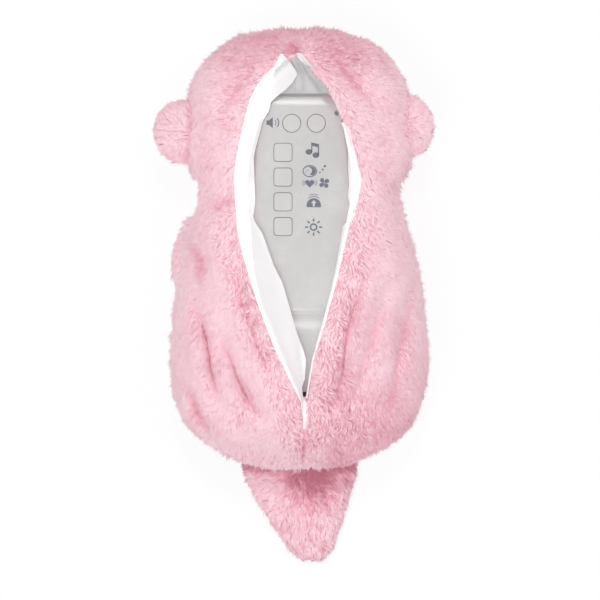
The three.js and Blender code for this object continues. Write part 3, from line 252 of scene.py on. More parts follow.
class Look:
    """A material that is built node by node."""

    def __init__(self, name: str) -> None:
        """Starts a material with its shader and output.

        Args:
            name: The material's name.
        """
        self.material = bpy.data.materials.new(f"{name}_finish")
        self.material.use_nodes = True
        self.tree = self.material.node_tree
        self.tree.nodes.clear()
        self.shader = self.tree.nodes.new("ShaderNodeBsdfPrincipled")
        self.output = self.tree.nodes.new("ShaderNodeOutputMaterial")
        self.tree.links.new(self.shader.outputs[0], self.output.inputs[0])

    def node(
        self, kind: str, settings: dict[str, object], inputs: dict[object, object], out: object = 0,
    ) -> Value:
        """Adds a node.

        Args:
            kind: The node's type.
            settings: Its settings, and its ramp's stops under the name stops.
            inputs: The value or link of each socket.
            out: The output that is wanted.

        Returns:
            That output.
        """
        made = self.tree.nodes.new(kind)
        for name, value in settings.items():
            if name == "stops":
                self._stops(made, value)
            else:
                setattr(made, name, value)
        for name, value in inputs.items():
            self.put(made.inputs[name], value)
        return Value(self, made.outputs[out])

    def _stops(self, made: bpy.types.Node, stops: Sequence[tuple[float, tuple]]) -> None:
        """Sets the stops of a ramp.

        Args:
            made: The ramp's node.
            stops: The place and colour of each.
        """
        elements = made.color_ramp.elements
        while len(elements) < len(stops):
            elements.new(0.5)
        for element, (place, colour) in zip(elements, stops):
            element.position = place
            element.color = colour

    def put(self, socket: bpy.types.NodeSocket, value: object) -> None:
        """Sets a socket to a value, or links it.

        Args:
            socket: The socket.
            value: A value, or the output that feeds it.
        """
        if isinstance(value, Value):
            self.tree.links.new(value.socket, socket)
        else:
            socket.default_value = value

    def place(self) -> Value:
        """The place on the object."""
        return self.node("ShaderNodeTexCoord", {}, {}, "Object")

    def part(self, vector: Value, axis: int) -> Value:
        """One part of a vector, from 0 for x to 2 for z."""
        return self.node("ShaderNodeSeparateXYZ", {}, {0: vector}, axis)

    def rise(self, axis: int, low: float, high: float) -> Value:
        """From 0 at one level along an axis to 1 at another, both in millimetres."""
        levels = {0: self.part(self.place(), axis), 1: low * MM, 2: high * MM}
        return self.node("ShaderNodeMapRange", {}, levels, 0)

    def clouds(self, colour: Colour, low: float, clouds: Value) -> Value:
        """A colour that clouds darken to a low share of it."""
        dark = tuple(value * low for value in colour)
        return self.ramp(clouds, [(0.3, linear(*dark)), (0.7, linear(*colour))])

    def noise(self, scale: float, detail: float = 3.0, vector: Value | None = None) -> Value:
        """Noise from 0 to 1 at a scale to the metre."""
        inputs = {"Vector": vector or self.place(), "Scale": scale, "Detail": detail}
        return self.node("ShaderNodeTexNoise", {}, inputs, 0)

    def ramp(self, factor: Value, stops: Sequence[tuple[float, tuple]]) -> Value:
        """A colour from a value."""
        return self.node("ShaderNodeValToRGB", {"stops": stops}, {0: factor}, 0)

    def mix(self, factor: object, first: object, second: object, way: str = "MIX") -> Value:
        """Two colours mixed."""
        settings = {"data_type": "RGBA", "blend_type": way}
        return self.node("ShaderNodeMix", settings, {0: factor, 6: first, 7: second}, 2)

    def bump(self, height: Value, strength: float, distance: float) -> None:
        """Raises the surface by a height, in metres at a height of one."""
        inputs = {"Height": height, "Strength": strength, "Distance": distance}
        self.put(self.shader.inputs["Normal"], self.node("ShaderNodeBump", {}, inputs, 0))

    def set(self, **values: object) -> None:
        """Sets sockets of the shader by name, an underline standing for a space."""
        for name, value in values.items():
            self.put(self.shader.inputs[name.replace("_", " ")], value)


@dataclass(frozen=True)
class PileFinish:
    """Long soft pile, darker at its root as painted shade, with a painted glow for light passing through
    it.

    A strand's map has its tint across, painted shade and random tone in one, and its length up.
    """

    name: str = "pile"
    # The root colour is darker than the tip: painted shade deep in the pile.
    root: Colour = (250, 214, 224)
    tip: Colour = (255, 241, 246)
    # through tints the painted glow that stands in for light passing through the pile.
    through: Colour = (255, 212, 223)
    # Tint stops: the dark end is painted shade in folds, round the crown and on the tail; the middle is
    # random tone.
    tints: tuple[tuple[float, Colour], ...] = (
        (0.0, (196, 132, 148)), (0.25, (236, 194, 203)), (0.5, (251, 236, 239)), (1.0, (255, 254, 255)),
    )
    root_ends: float = 0.35
    glow: float = 0.27

    def build(self) -> Material:
        """Builds the material.

        Returns:
            The material.
        """
        look = Look(self.name)
        place = look.node("ShaderNodeUVMap", {"uv_map": MAP}, {}, 0)
        stops = [(0.0, linear(*self.root)), (self.root_ends, linear(*self.tip)), (1.0, linear(*self.tip))]
        length_colour = look.ramp(look.part(place, 1), stops)
        tint = look.ramp(look.part(place, 0), [(stop, linear(*colour)) for stop, colour in self.tints])
        colour = look.mix(1.0, length_colour, tint, "MULTIPLY")
        # Painted glow: the pile emits its own colour, tinted pinker, in place of light passing through it.
        painted_glow_colour = look.mix(1.0, colour, linear(*self.through), "MULTIPLY")
        look.set(Base_Color=colour, Roughness=0.72, Sheen_Weight=0.35, Sheen_Roughness=0.5)
        look.set(Specular_IOR_Level=0.3, Emission_Color=painted_glow_colour, Emission_Strength=self.glow)
        return look.material


@dataclass(frozen=True)
class BackingFinish:
    """The knitted backing that the pile grows from, with a painted glow that lightens the shade between the
    strands.
    """

    name: str = "pile_backing"
    dark: Colour = (240, 194, 204)
    light: Colour = (252, 218, 225)
    glow: float = 0.16

    def build(self) -> Material:
        """Builds the material.

        Returns:
            The material.
        """
        look = Look(self.name)
        fine = look.noise(900.0, 4.0)
        broad = look.noise(45.0, 2.0)
        stops = [(0.3, linear(*self.dark)), (0.7, linear(*self.light))]
        colour = look.ramp(fine * 0.6 + broad * 0.4, stops)
        look.set(Base_Color=colour, Roughness=0.95, Sheen_Weight=0.4)
        # Painted glow: the backing emits its own colour.
        look.set(Emission_Color=colour, Emission_Strength=self.glow)
        look.bump(fine, 0.6, 0.0006)
        return look.material


@dataclass(frozen=True)
class ClothFinish:
    """Fine woven cloth with a soft sheen and a painted glow, and painted shade from a place along the toy
    on.
    """

    name: str
    dark: Colour = (236, 233, 236)
    light: Colour = (254, 253, 254)
    threads: float = 2600.0
    depth: float = 0.00008
    glow: float = 0.0
    dim_from: float | None = None
    dim_over: float = 7.0
    dim: Colour = (240, 239, 240)

    def build(self) -> Material:
        """Builds the material.

        Returns:
            The material.
        """
        look = Look(self.name)
        place = look.place()
        ways = ((0.7, 0.7, 0.0), (0.7, -0.7, 0.3))
        warp, weft = (self._threads(look, place, way) for way in ways)
        weave = warp * 0.5 + weft * 0.5
        slub = look.noise(70.0, 4.0, place)
        stops = [(0.25, linear(*self.dark)), (0.7, linear(*self.light))]
        colour = look.ramp(weave * 0.35 + slub * 0.65, stops)
        # Painted shade: the cloth is darker from a place along the toy on, where the slit's walls shade the
        # pouch.
        if self.dim_from is not None:
            share = look.rise(1, self.dim_from, self.dim_from + self.dim_over)
            colour = look.mix(share, colour, look.mix(1.0, colour, linear(*self.dim), "MULTIPLY"))
        look.set(Base_Color=colour, Roughness=0.8 - slub * 0.12, Sheen_Weight=0.25)
        # Painted glow: the cloth emits its own colour, lifting its shade.
        look.set(Emission_Color=colour, Emission_Strength=self.glow)
        look.bump(weave * 0.7 + slub * 0.3, 0.5, self.depth)
        return look.material

    def _threads(self, look: Look, place: Value, way: tuple[float, float, float]) -> Value:
        """Threads that lie across one way."""
        across = look.node("ShaderNodeVectorMath", {"operation": "DOT_PRODUCT"}, {0: place, 1: way}, 1)
        return look.node("ShaderNodeMath", {"operation": "SINE"}, {0: across * self.threads}) * 0.5 + 0.5


@dataclass(frozen=True)
class PlasticFinish:
    """Moulded plastic with a fine satin grain and slight handling wear.

    Under the level of its groove its colour is darker and browner, painted shade in the gap round a button;
    under its hollow's level it glows darkly, painted light in the screw recesses.
    """

    name: str
    colour: Colour
    roughness: float = 0.42
    grain: float = 3200.0
    depth: float = 0.00001
    groove: float | None = None
    hollow: float | None = None
    shine: float = 0.5
    groove_colour: Colour = (138, 126, 124)
    hollow_colour: Colour = (120, 117, 116)
    cloud: float = 0.965

    def build(self) -> Material:
        """Builds the material.

        Returns:
            The material.
        """
        look = Look(self.name)
        cloud = look.noise(38.0, 3.0)
        grain = look.noise(self.grain, 2.0)
        colour = look.clouds(self.colour, self.cloud, cloud)
        # Painted light: below the hollow's level the walls glow, so the screw recesses read grey rather
        # than black.
        if self.hollow is not None:
            share = look.rise(2, self.hollow + 1.5, self.hollow - 1.5)
            deep = look.mix(share, linear(0, 0, 0), linear(*self.hollow_colour))
            look.set(Emission_Color=deep, Emission_Strength=0.7)
        # Painted shade: below the groove's level the sides in the gap round a button are darker and
        # browner.
        if self.groove is not None:
            share = look.rise(2, self.groove - 0.2, self.groove + 0.1)
            colour = look.mix(share, linear(*self.groove_colour), colour)
        look.set(Base_Color=colour, Roughness=cloud * 0.1 + grain * 0.06 + (self.roughness - 0.08))
        look.set(Specular_IOR_Level=self.shine)
        look.bump(grain, 0.35, self.depth)
        return look.material


@dataclass(frozen=True)
class MetalFinish:
    """Brushed or plated metal."""

    name: str
    colour: Colour
    roughness: float = 0.32
    cloud: float = 0.86

    def build(self) -> Material:
        """Builds the material.

        Returns:
            The material.
        """
        look = Look(self.name)
        cloud = look.noise(120.0, 4.0)
        fine = look.noise(5200.0, 2.0)
        colour = look.clouds(self.colour, self.cloud, cloud)
        look.set(Base_Color=colour, Metallic=1.0, Roughness=cloud * 0.14 + (self.roughness - 0.05))
        look.bump(fine, 0.3, 0.000012)
        return look.material


def finishes() -> Finishes:
    """Builds every finish.

    Returns:
        The materials by name, most of them by the record's slot.
    """
    made = [
        PileFinish(),
        BackingFinish(),
        ClothFinish("lining", (235, 233, 234), (248, 247, 248), 12000.0, 0.00004, 0.15, dim_from=117.0),
        # The net's grey is partly its own darker tone and partly painted shade of the slit's top end.
        ClothFinish("net", (176, 175, 175), (226, 225, 225), 5200.0, 0.0002),
        ClothFinish("closure", (250, 249, 250), (255, 255, 255), 9000.0, 0.00004, 0.3),
        ClothFinish("stitching", (60, 40, 46), (86, 60, 66), 5200.0, 0.0001),
        ClothFinish("nose_fabric", (92, 62, 70), (124, 88, 96), 3000.0, 0.0001),
        PlasticFinish("case", (208, 207, 206), 0.27, hollow=61.5, shine=0.8),
        PlasticFinish("button", (209, 208, 207), 0.36, groove=66.05, groove_colour=(160, 148, 146)),
        PlasticFinish("inner_plastic", (201, 199, 194), 0.5),
        PlasticFinish("gear_plastic", (240, 238, 229), 0.4),
        PlasticFinish("rubber", (40, 40, 43), 0.75, 1800.0, 0.00003),
        MetalFinish("steel", (196, 199, 204)),
        PlasticFinish("board", (46, 104, 68), 0.45),
        PlasticFinish("diffuser", (250, 250, 250), 0.3),
        PlasticFinish("cone", (48, 48, 51), 0.9, 900.0, 0.00005),
        PlasticFinish("battery", (64, 128, 92), 0.35),
        PlasticFinish("wire", (166, 60, 54), 0.45),
        PlasticFinish("print", (112, 115, 128), 0.55, 4000.0, 0.000004),
    ]
    return {finish.name: finish.build() for finish in made}


def link(name: str, mesh: Mesh, material: Material) -> Object:
    """Makes an object of a mesh in place.

    Args:
        name: The object's name.
        mesh: Its mesh, in place.
        material: Its finish.

    Returns:
        The object.
    """
    made = bpy.data.objects.new(name, mesh)
    bpy.context.scene.collection.objects.link(made)
    mesh.name = name
    mesh.materials.clear()
    mesh.materials.append(material)
    return made


def from_bmesh(
    name: str, shape: Shape, material: Material, smooth: float | None = 40.0,
) -> Object:
    """Makes an object of a bmesh, and frees the bmesh.

    Args:
        name: The object's name.
        shape: Its shape, in place and in metres.
        material: Its finish.
        smooth: Edges over this angle in degrees stay sharp; None leaves all faces flat.

    Returns:
        The object.
    """
    mesh = bpy.data.meshes.new(name)
    if smooth is not None:
        for face in shape.faces:
            face.smooth = True
        for edge in shape.edges:
            edge.smooth = len(edge.link_faces) != 2 or edge.calc_face_angle(0.0) < math.radians(smooth)
    shape.to_mesh(mesh)
    shape.free()
    return link(name, mesh, material)


def settle(made: Object, body: str = "toy", node: str | None = None) -> None:
    """Hides the node that a piece replaces and attaches the piece to the body that it moves with.

    Args:
        made: The piece.
        body: The body that it moves with.
        node: The node that it replaces; None if it is extra.
    """
    if node is not None:
        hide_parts(node)
    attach(made, body)
    LOG.info("%s: %d faces", made.name, len(made.data.polygons))


def shape_of(nodes: Sequence[Object]) -> Shape:
    """One shape of copies of nodes, their doubles merged.

    Args:
        nodes: The nodes.

    Returns:
        The shape, in metres.
    """
    shape = bmesh.new()
    for node in nodes:
        shape.from_mesh(node.data)
    bmesh.ops.remove_doubles(shape, verts=shape.verts, dist=1e-6)
    return shape


def order_faces(shape: Shape) -> None:
    """Puts the faces in the order of their first two corners, which is the same in every run."""
    shape.verts.index_update()
    count = len(shape.verts)
    shape.faces.sort(key=lambda face: face.verts[0].index * count + face.verts[1].index)


def relax(shape: Shape, factor: float) -> None:
    """Draws every vertex towards the middle of its neighbours."""
    ways = {f"use_axis_{axis}": True for axis in "xyz"}
    bmesh.ops.smooth_vert(shape, verts=shape.verts, factor=factor, **ways)


@dataclass(frozen=True)
class CoverForm:
    """The stuffed cover's form: superellipse sections from the crown to the rump."""

    centre: float = 3.0
    crown: float = 162.04
    length: float = 267.0
    half_width: float = 76.7
    height: float = 96.0
    waist: float = 43.0
    pressed: float = 0.5
    back_power: float = 2.3
    belly_power: float = 2.6
    rows: tuple[tuple[float, float, float, float], ...] = (
        (0.012, 0.4, 0.6, 0.29), (0.022, 0.52, 0.69, 0.22), (0.045, 0.63, 0.78, 0.155),
        (0.068, 0.715, 0.825, 0.115), (0.09, 0.775, 0.855, 0.092), (0.112, 0.82, 0.872, 0.077),
        (0.135, 0.85, 0.885, 0.067), (0.16, 0.87, 0.895, 0.06), (0.2, 0.882, 0.905, 0.056),
        (0.245, 0.888, 0.908, 0.056), (0.29, 0.88, 0.905, 0.064), (0.318, 0.845, 0.899, 0.074),
        (0.34, 0.79, 0.893, 0.084), (0.362, 0.768, 0.89, 0.09), (0.387, 0.78, 0.895, 0.078),
        (0.431, 0.815, 0.915, 0.035), (0.465, 0.852, 0.932, 0.008), (0.501, 0.885, 0.947, 0.0),
        (0.568, 0.936, 0.972, 0.0), (0.614, 0.962, 0.985, 0.0), (0.66, 0.981, 0.994, 0.0),
        (0.71, 0.994, 1.0, 0.0), (0.7525, 1.0, 1.0, 0.0), (0.797, 0.994, 0.992, 0.003),
        (0.841, 0.972, 0.968, 0.012), (0.882, 0.915, 0.92, 0.04), (0.911, 0.85, 0.87, 0.075),
        (0.9335, 0.77, 0.815, 0.115), (0.9575, 0.67, 0.745, 0.17), (0.978, 0.53, 0.665, 0.235),
        (0.991, 0.37, 0.595, 0.3),
    )

    def section(self, y: Points) -> tuple[Points, Points, Points]:
        """The half width, top and bottom of the cover.

        Args:
            y: Places along the toy.

        Returns:
            The three sizes at each place.
        """
        half, top, bottom = from_rows(self.rows, (self.crown - y) / self.length, 1, 2, 3)
        return half * self.half_width, top * self.height, bottom * self.height - self.pressed

    def depth(self, points: Points) -> Points:
        """How deep places are inside the cover, less than 0 outside.

        Args:
            points: Places, one to a row.

        Returns:
            The depth of each.
        """
        half, top, bottom = self.section(points[:, 1])
        across = np.abs(points[:, 0] - self.centre)
        rise = points[:, 2] - self.waist
        above = rise > 0
        power = np.where(above, self.back_power, self.belly_power)
        reach = np.where(above, top - self.waist, self.waist - bottom)
        share = ((across / half) ** power + (np.abs(rise) / reach) ** power) ** (1 / power)
        return (1 - share) * np.hypot(across, rise) / np.maximum(share, 0.05)

    def back(self, x: Points, y: Points) -> Points:
        """The height of the back over places in plan."""
        half, top, _ = self.section(y)
        return self.waist + (top - self.waist) * self._round(x, half, self.back_power)

    def face(self, x: Points, y: Points) -> Points:
        """The height of the face and belly over places in plan."""
        half, _, bottom = self.section(y)
        return self.waist - (self.waist - bottom) * self._round(x, half, self.belly_power)

    def _round(self, x: Points, half: Points, power: float) -> Points:
        """The share of a section's height at places across it."""
        share = np.clip(np.abs(x - self.centre) / half, 0, 1)
        return (1 - share**power) ** (1 / power)

    def upper(self, points: Points) -> Points:
        """About 1 on the back and 0 below the waist."""
        return ease(points[:, 2], self.waist - 12.0, self.waist + 12.0)


@dataclass(frozen=True)
class SlitForm:
    """The slit in the back: its edges on the outside and its folds at the slit's floor."""

    cover: CoverForm = field(default_factory=CoverForm)
    start: float = 13.0
    length: float = 230.0
    half_width: float = 40.0
    floor: float = 67.2
    rise: float = 6.0
    rows: tuple[tuple[float, ...], ...] = (
        (0.0, -0.03, -0.01, 0.01, 0.025, 1.0), (0.035, -0.325, -0.22, 0.1, 0.185, 0.85),
        (0.059, -0.495, -0.38, 0.17, 0.26, 0.65), (0.092, -0.625, -0.46, 0.34, 0.45, 0.35),
        (0.121, -0.7125, -0.5, 0.49, 0.56, 0.0), (0.14, -0.745, -0.53, 0.54, 0.61, 0.0),
        (0.202, -0.84, -0.59, 0.69, 0.75, 0.0), (0.282, -0.94, -0.68, 0.735, 0.88, 0.0),
        (0.343, -1.0, -0.7, 0.745, 0.955, 0.0), (0.38, -1.0, -0.695, 0.745, 0.915, 0.0),
        (0.442, -0.97, -0.7, 0.72, 0.825, 0.0), (0.51, -0.9, -0.52, 0.66, 0.73, 0.0),
        (0.585, -0.75, -0.33, 0.58, 0.635, 0.0), (0.639, -0.6575, -0.22, 0.51, 0.56, 0.0),
        (0.714, -0.465, -0.09, 0.4, 0.435, 0.0), (0.771, -0.335, 0.0, 0.305, 0.33, 0.0),
        (0.825, -0.21, 0.05, 0.22, 0.24, 0.0), (0.876, -0.1, 0.065, 0.17, 0.19, 0.0),
        (0.911, -0.03, 0.06, 0.14, 0.155, 0.0), (0.951, 0.03, 0.06, 0.1, 0.12, 0.5),
        (1.0, 0.065, 0.07, 0.08, 0.085, 1.0),
    )

    def way(self, y: Points) -> Points:
        """The share of the slit's length at places along the toy."""
        return (self.cover.crown - self.start - y) / self.length

    def place(self, way: Points) -> Points:
        """The place along the toy at shares of the slit's length."""
        return self.cover.crown - self.start - way * self.length

    def wall(self, side: Side, way: Points) -> tuple[Points, Points]:
        """One wall of the slit.

        Args:
            side: Which wall.
            way: Shares of the slit's length.

        Returns:
            Its fold at the floor and its edge on the outside, one point to a row each.
        """
        columns = (2, 1) if side is Side.LEFT else (3, 4)
        fold, edge, raised = from_rows(self.rows, way, *columns, 5)
        fold, edge = (self.cover.centre + share * self.half_width for share in (fold, edge))
        y = self.place(way)
        low = self.floor + raised * self.rise
        return np.column_stack([fold, y, low]), np.column_stack([edge, y, self.cover.back(edge, y)])

    def edge_gap(self, points: Points) -> Points:
        """How far places in plan are outside the slit's edges, less than 0 over the slit.

        Args:
            points: Places, one to a row.

        Returns:
            The distance of each across the toy, or from the slit's end.
        """
        way = self.way(points[:, 1])
        inside = np.clip(way, 0, 1)
        edges = from_rows(self.rows, inside, 1, 4)
        left, right = (self.cover.centre + share * self.half_width for share in edges)
        across = np.maximum(left - points[:, 0], points[:, 0] - right)
        past = np.abs(way - inside) * self.length
        return np.where(past > 0, np.hypot(past, np.maximum(across, 0)), across)


@dataclass
class Crease:
    """A fold that runs over the cover and fades at both ends, with a swell on both its sides."""

    line: list[Place]
    depth: float
    width: float
    swell: float = 0.4
    swell_place: float = 2.2
    swell_width: float = 1.3

    def near(self, points: Points) -> tuple[Points, Points]:
        """How far places in plan are from the fold, and how full it is there."""
        gap, share = line_distance(points[:, :2], self.line)
        return gap, np.sin(np.pi * np.clip(share * 0.92 + 0.04, 0, 1))

    def sink(self, points: Points) -> Points:
        """How far the fold sinks the cover.

        Args:
            points: Places, one to a row.

        Returns:
            The depth at each, less than 0 on the swell.
        """
        gap, full = self.near(points)
        outer = bell(gap - self.swell_place * self.width, self.swell_width * self.width)
        return full**0.7 * self.depth * (bell(gap, self.width) - self.swell * outer)


CURLY_PLACES = (
    (197, 318, 10, 26, 0.7), (205, 402, 12, 22, 0.5), (247, 412, 28, 20, 0.6), (338, 418, 42, 32, 0.95),
    (300, 455, 60, 12, 0.6), (404, 352, 12, 25, 0.45), (178, 250, 12, 30, 0.5),
)


def back_creases() -> list[Crease]:
    """The folds on the back.

    Returns:
        The folds, measured on the picture.
    """
    rows = [
        ([(201, 312), (205, 326), (209.6, 345), (215, 378), (220, 398)], 4.0, 2.9),
        ([(223, 334), (231, 356), (238, 374), (249, 397), (261, 416)], 2.8, 3.6),
        ([(188, 380), (196, 402), (212, 430)], 2.1, 3.2),
        ([(381, 292), (375, 316), (368, 342), (361, 370), (352, 392)], 1.6, 4.4),
        ([(408, 285), (403, 312), (399, 338), (395, 362), (389, 390), (381, 412)], 1.7, 4.0),
        ([(366, 275), (360, 290), (353, 305), (348, 325), (344, 348), (341, 370), (333, 402)], 2.7, 2.8),
        ([(236, 268), (245, 308), (257, 342), (276, 384)], 2.2, 2.8),
        ([(322, 47), (340, 72), (358, 94), (379, 113)], 1.7, 5.5),
        ([(304, 427), (303.5, 445), (303, 460)], 2.2, 2.2),
        ([(262, 62), (245, 84), (229, 112)], 1.4, 5.0),
        ([(243, 190), (224, 204), (206, 212)], 1.2, 5.0),
        ([(196, 240), (206, 262), (204, 290)], 1.8, 4.5),
    ]
    return [Crease(from_picture(line), depth, width) for line, depth, width in rows]


RING = ((-0.87, -0.35), (0.87, -0.35), (0.0, 0.75))
SPIKE = ((0, 1, 2), (0, 2, 3), (0, 3, 1), (4, 2, 1), (4, 3, 2), (4, 1, 3))


@dataclass
class Strands:
    """The strands of a piece of pile before they become a mesh."""

    root: Points
    bend: Points
    tip: Points
    across: Points
    up: Points
    width: Points
    tint: Points
    soft: Points

    def part(self, chosen: Points) -> Strands:
        """Some of the strands."""
        return Strands(*(getattr(self, name)[chosen] for name in self.__dataclass_fields__))

    def mesh(self, name: str, floor: float = 0.25) -> Mesh:
        """Writes the strands as slim closed spikes, widest at their bend.

        Args:
            name: The mesh's name.
            floor: Lowest level that a strand may reach.

        Returns:
            The mesh, in metres.
        """
        count, faces = len(self.root), len(SPIKE)
        reach = (self.width / 2)[:, None]
        ring = [self.bend + (self.across * a + self.up * b) * reach for a, b in RING]
        points = np.stack([self.root, *ring, self.tip], axis=1)
        wide = (self.width - self.width.min()) / max(np.ptp(self.width), 1e-6)
        points[:, :, 2] = np.maximum(points[:, :, 2], (floor + 0.9 * wide)[:, None])
        corners = np.array(SPIKE).ravel()
        order = np.arange(count)[:, None] * points.shape[1]
        mesh = bpy.data.meshes.new(name)
        mesh.vertices.add(count * points.shape[1])
        mesh.vertices.foreach_set("co", (points * MM).astype(np.float32).ravel())
        mesh.loops.add(count * len(corners))
        mesh.loops.foreach_set("vertex_index", (order + corners).astype(np.int32).ravel())
        mesh.polygons.add(count * faces)
        mesh.polygons.foreach_set("loop_start", np.arange(0, count * len(corners), 3, dtype=np.int32))
        mesh.polygons.foreach_set("use_smooth", np.ones(count * faces, bool))
        mesh.update(calc_edges=True)
        self._map(mesh, corners)
        soft = self.soft[:, None]
        sides = [unit(self.up * (soft + (1 - soft) * b) + self.across * (1 - soft) * a) for a, b in RING]
        shading = np.stack([self.up, *sides, self.up], axis=1)
        mesh.normals_split_custom_set_from_vertices(shading.reshape(-1, 3).astype(np.float32))
        return mesh

    def _map(self, mesh: Mesh, corners: Points) -> None:
        """Lays every strand on the map, its tint across and its length up.

        Args:
            mesh: The strands' mesh.
            corners: Which of a strand's points each corner of its faces is at.
        """
        slim, low, high = 0.006, 0.02, 0.98
        across = np.array([0.0, -slim, slim, 0.0, 0.0])[corners]
        places = np.empty((len(self.tint), len(corners), 2), np.float32)
        places[:, :, 0] = np.clip(self.tint, low, high)[:, None] + across
        places[:, :, 1] = np.array([low, 0.5, 0.5, 0.5, high])[corners]
        mesh.uv_layers.new(name=MAP).data.foreach_set("uv", places.ravel())


@dataclass
class Pile:
    """How pile grows on a skin: each strand rises from its root, bends over halfway and droops.

    The strands of a lock share their turn, rise, length and tint, and draw together. Pile on a steep skin
    and curly pile is wilder, and a few stray strands stand up. Angles are in degrees, a turn in radians.
    """

    length: float = 6.0
    width: float = 0.48
    rise: float = 38.0
    droop: float = 11.0
    locks: float = 0.085
    gather: float = 0.12
    seed: int = 7
    tint: float = 0.535
    sunk: float = 0.5
    most: float = 1.9
    turn: float = 0.12
    wobble: float = 5.0
    sway: float = 0.25
    stray: float = 24.0
    strays: float = 0.02
    tint_spread: float = 0.03
    lengths: tuple[float, float] = (0.84, 1.12)
    widths: tuple[float, float] = (0.8, 1.25)
    softness: float = 0.82
    curl_length: float = 0.22
    curl_rise: float = 12.0
    curl_droop: float = 8.0
    curl_sway: float = 1.6
    curl_close: float = 0.65
    steep_close: float = 0.45
    underlight: float = 0.7
    flow: Callable[[Points, Points], Points] = lambda roots, _: np.tile([0.0, -1.0, 0.0], (len(roots), 1))
    curl: Callable[[Points], Points] = lambda roots: np.zeros(len(roots))
    shade: Callable[[Points], Points] = lambda roots: np.zeros(len(roots))
    crop: Callable[[Points], Points] = lambda roots: np.zeros(len(roots))

    def grow(self, roots: Points, normals: Points) -> Strands:
        """Grows a strand from each root.

        Args:
            roots: Where the strands start.
            normals: The skin's way out there.

        Returns:
            The strands.
        """
        rng = np.random.default_rng(self.seed)
        count = len(roots)
        curl = self.curl(roots)
        lock = self._locks(roots, curl)
        own = np.clip(rng.normal(size=(4, count)), -self.most, self.most)[:, lock]
        own_turn, own_rise, own_length, own_tint = own
        aside = (1 - np.abs(normals[:, 2])) ** 2
        turn = rng.normal(0, self.turn, count) + self.turn / 2 * own_turn
        way = self._swirl(roots, normals, turn, curl)
        length = self.length * (rng.uniform(*self.lengths, count) + 0.1 * own_length * (0.3 + 1.5 * aside))
        length = length * (1 - self.curl_length * curl) * (1 - self.crop(roots))
        loose = self.stray * (rng.random(count) < self.strays + 0.1 * aside)
        stray = loose + own_rise * (1 + 10 * aside) - 3 * aside
        high = np.radians(self.rise + self.curl_rise * curl + rng.normal(0, self.wobble, count) + stray)
        low = np.radians(self.droop + rng.normal(0, self.wobble, count) - self.curl_droop * curl + stray)
        half = (length * 0.5)[:, None]
        bend = roots + half * (np.cos(high)[:, None] * way + np.sin(high)[:, None] * normals)
        tip = bend + half * (np.cos(low)[:, None] * way + np.sin(low)[:, None] * normals)
        across = np.cross(way, normals)
        sway = rng.normal(0, self.sway, count) + self.curl_sway * curl * waves(roots, 9.0, self.seed + 6)
        tip = tip + across * sway[:, None]
        close = (self.gather + self.curl_close * curl + self.steep_close * aside)[:, None]
        bend = self._gather(bend, lock, across, 0.8 * close)
        tip = self._gather(tip, lock, across, close)
        # The pile's shade callable adds painted shade to the tint; the rest is random tone.
        tint = self.tint + self.shade(roots) + rng.normal(0, self.tint_spread, count) * (1 + curl)
        below = np.outer(np.clip(-normals[:, 2], 0, None), [0.0, 0.0, self.underlight])
        return Strands(
            roots - normals * self.sunk, bend, tip, unit(np.cross(unit(tip - roots), normals)),
            unit(normals + below), self.width * rng.uniform(*self.widths, count) * (1 + 0.2 * curl),
            tint + self.tint_spread * own_tint * (1 + 2.5 * curl), self.softness - 0.3 * curl,
        )

    def _swirl(self, roots: Points, normals: Points, turn: Points, curl: Points) -> Points:
        """The way each strand is combed, turned a little from the flow by patches.

        Args:
            roots: Where the strands start.
            normals: The skin's way out there.
            turn: Each strand's own turn.
            curl: How curly the pile is.

        Returns:
            The ways, along the skin.
        """
        flow = self.flow(roots, normals)
        flat = unit(flow - (flow * normals).sum(axis=1, keepdims=True) * normals)
        side = np.cross(normals, flat)
        angle = 0.22 * waves(roots, 26.0, self.seed + 1) + 0.14 * waves(roots, 8.0, self.seed + 2)
        wild = 0.5 * waves(roots, 11.0, self.seed + 3) + 0.25 * waves(roots, 5.0, self.seed + 4)
        angle = angle + turn + curl * wild
        return flat * np.cos(angle)[:, None] + side * np.sin(angle)[:, None]

    def _locks(self, roots: Points, curl: Points) -> Points:
        """Shares the strands among locks, smaller ones where the pile is curly.

        Args:
            roots: Where the strands start.
            curl: How curly the pile is.

        Returns:
            The strand that leads each strand's lock.
        """
        rng = np.random.default_rng(self.seed + 9)
        each = max(2, int(len(roots) * self.locks))
        odds = 0.5 + 1.5 * curl
        heads = rng.choice(len(roots), each, replace=False, p=odds / odds.sum())
        tree = KDTree(each)
        for number, head in enumerate(heads):
            tree.insert(roots[head], number)
        tree.balance()
        return heads[np.fromiter((tree.find(root)[1] for root in roots), int, len(roots))]

    def _gather(self, places: Points, lock: Points, across: Points, close: Points) -> Points:
        """Draws places together with their lock's, most of all from side to side.

        Args:
            places: A place of each strand.
            lock: The strand that leads each strand's lock.
            across: The way from side to side of each.
            close: The share of the way that it is drawn.

        Returns:
            The places.
        """
        apart = places[lock] - places
        side = (apart * across).sum(axis=1, keepdims=True) * across
        return places + close * side + 0.12 * (apart - side)


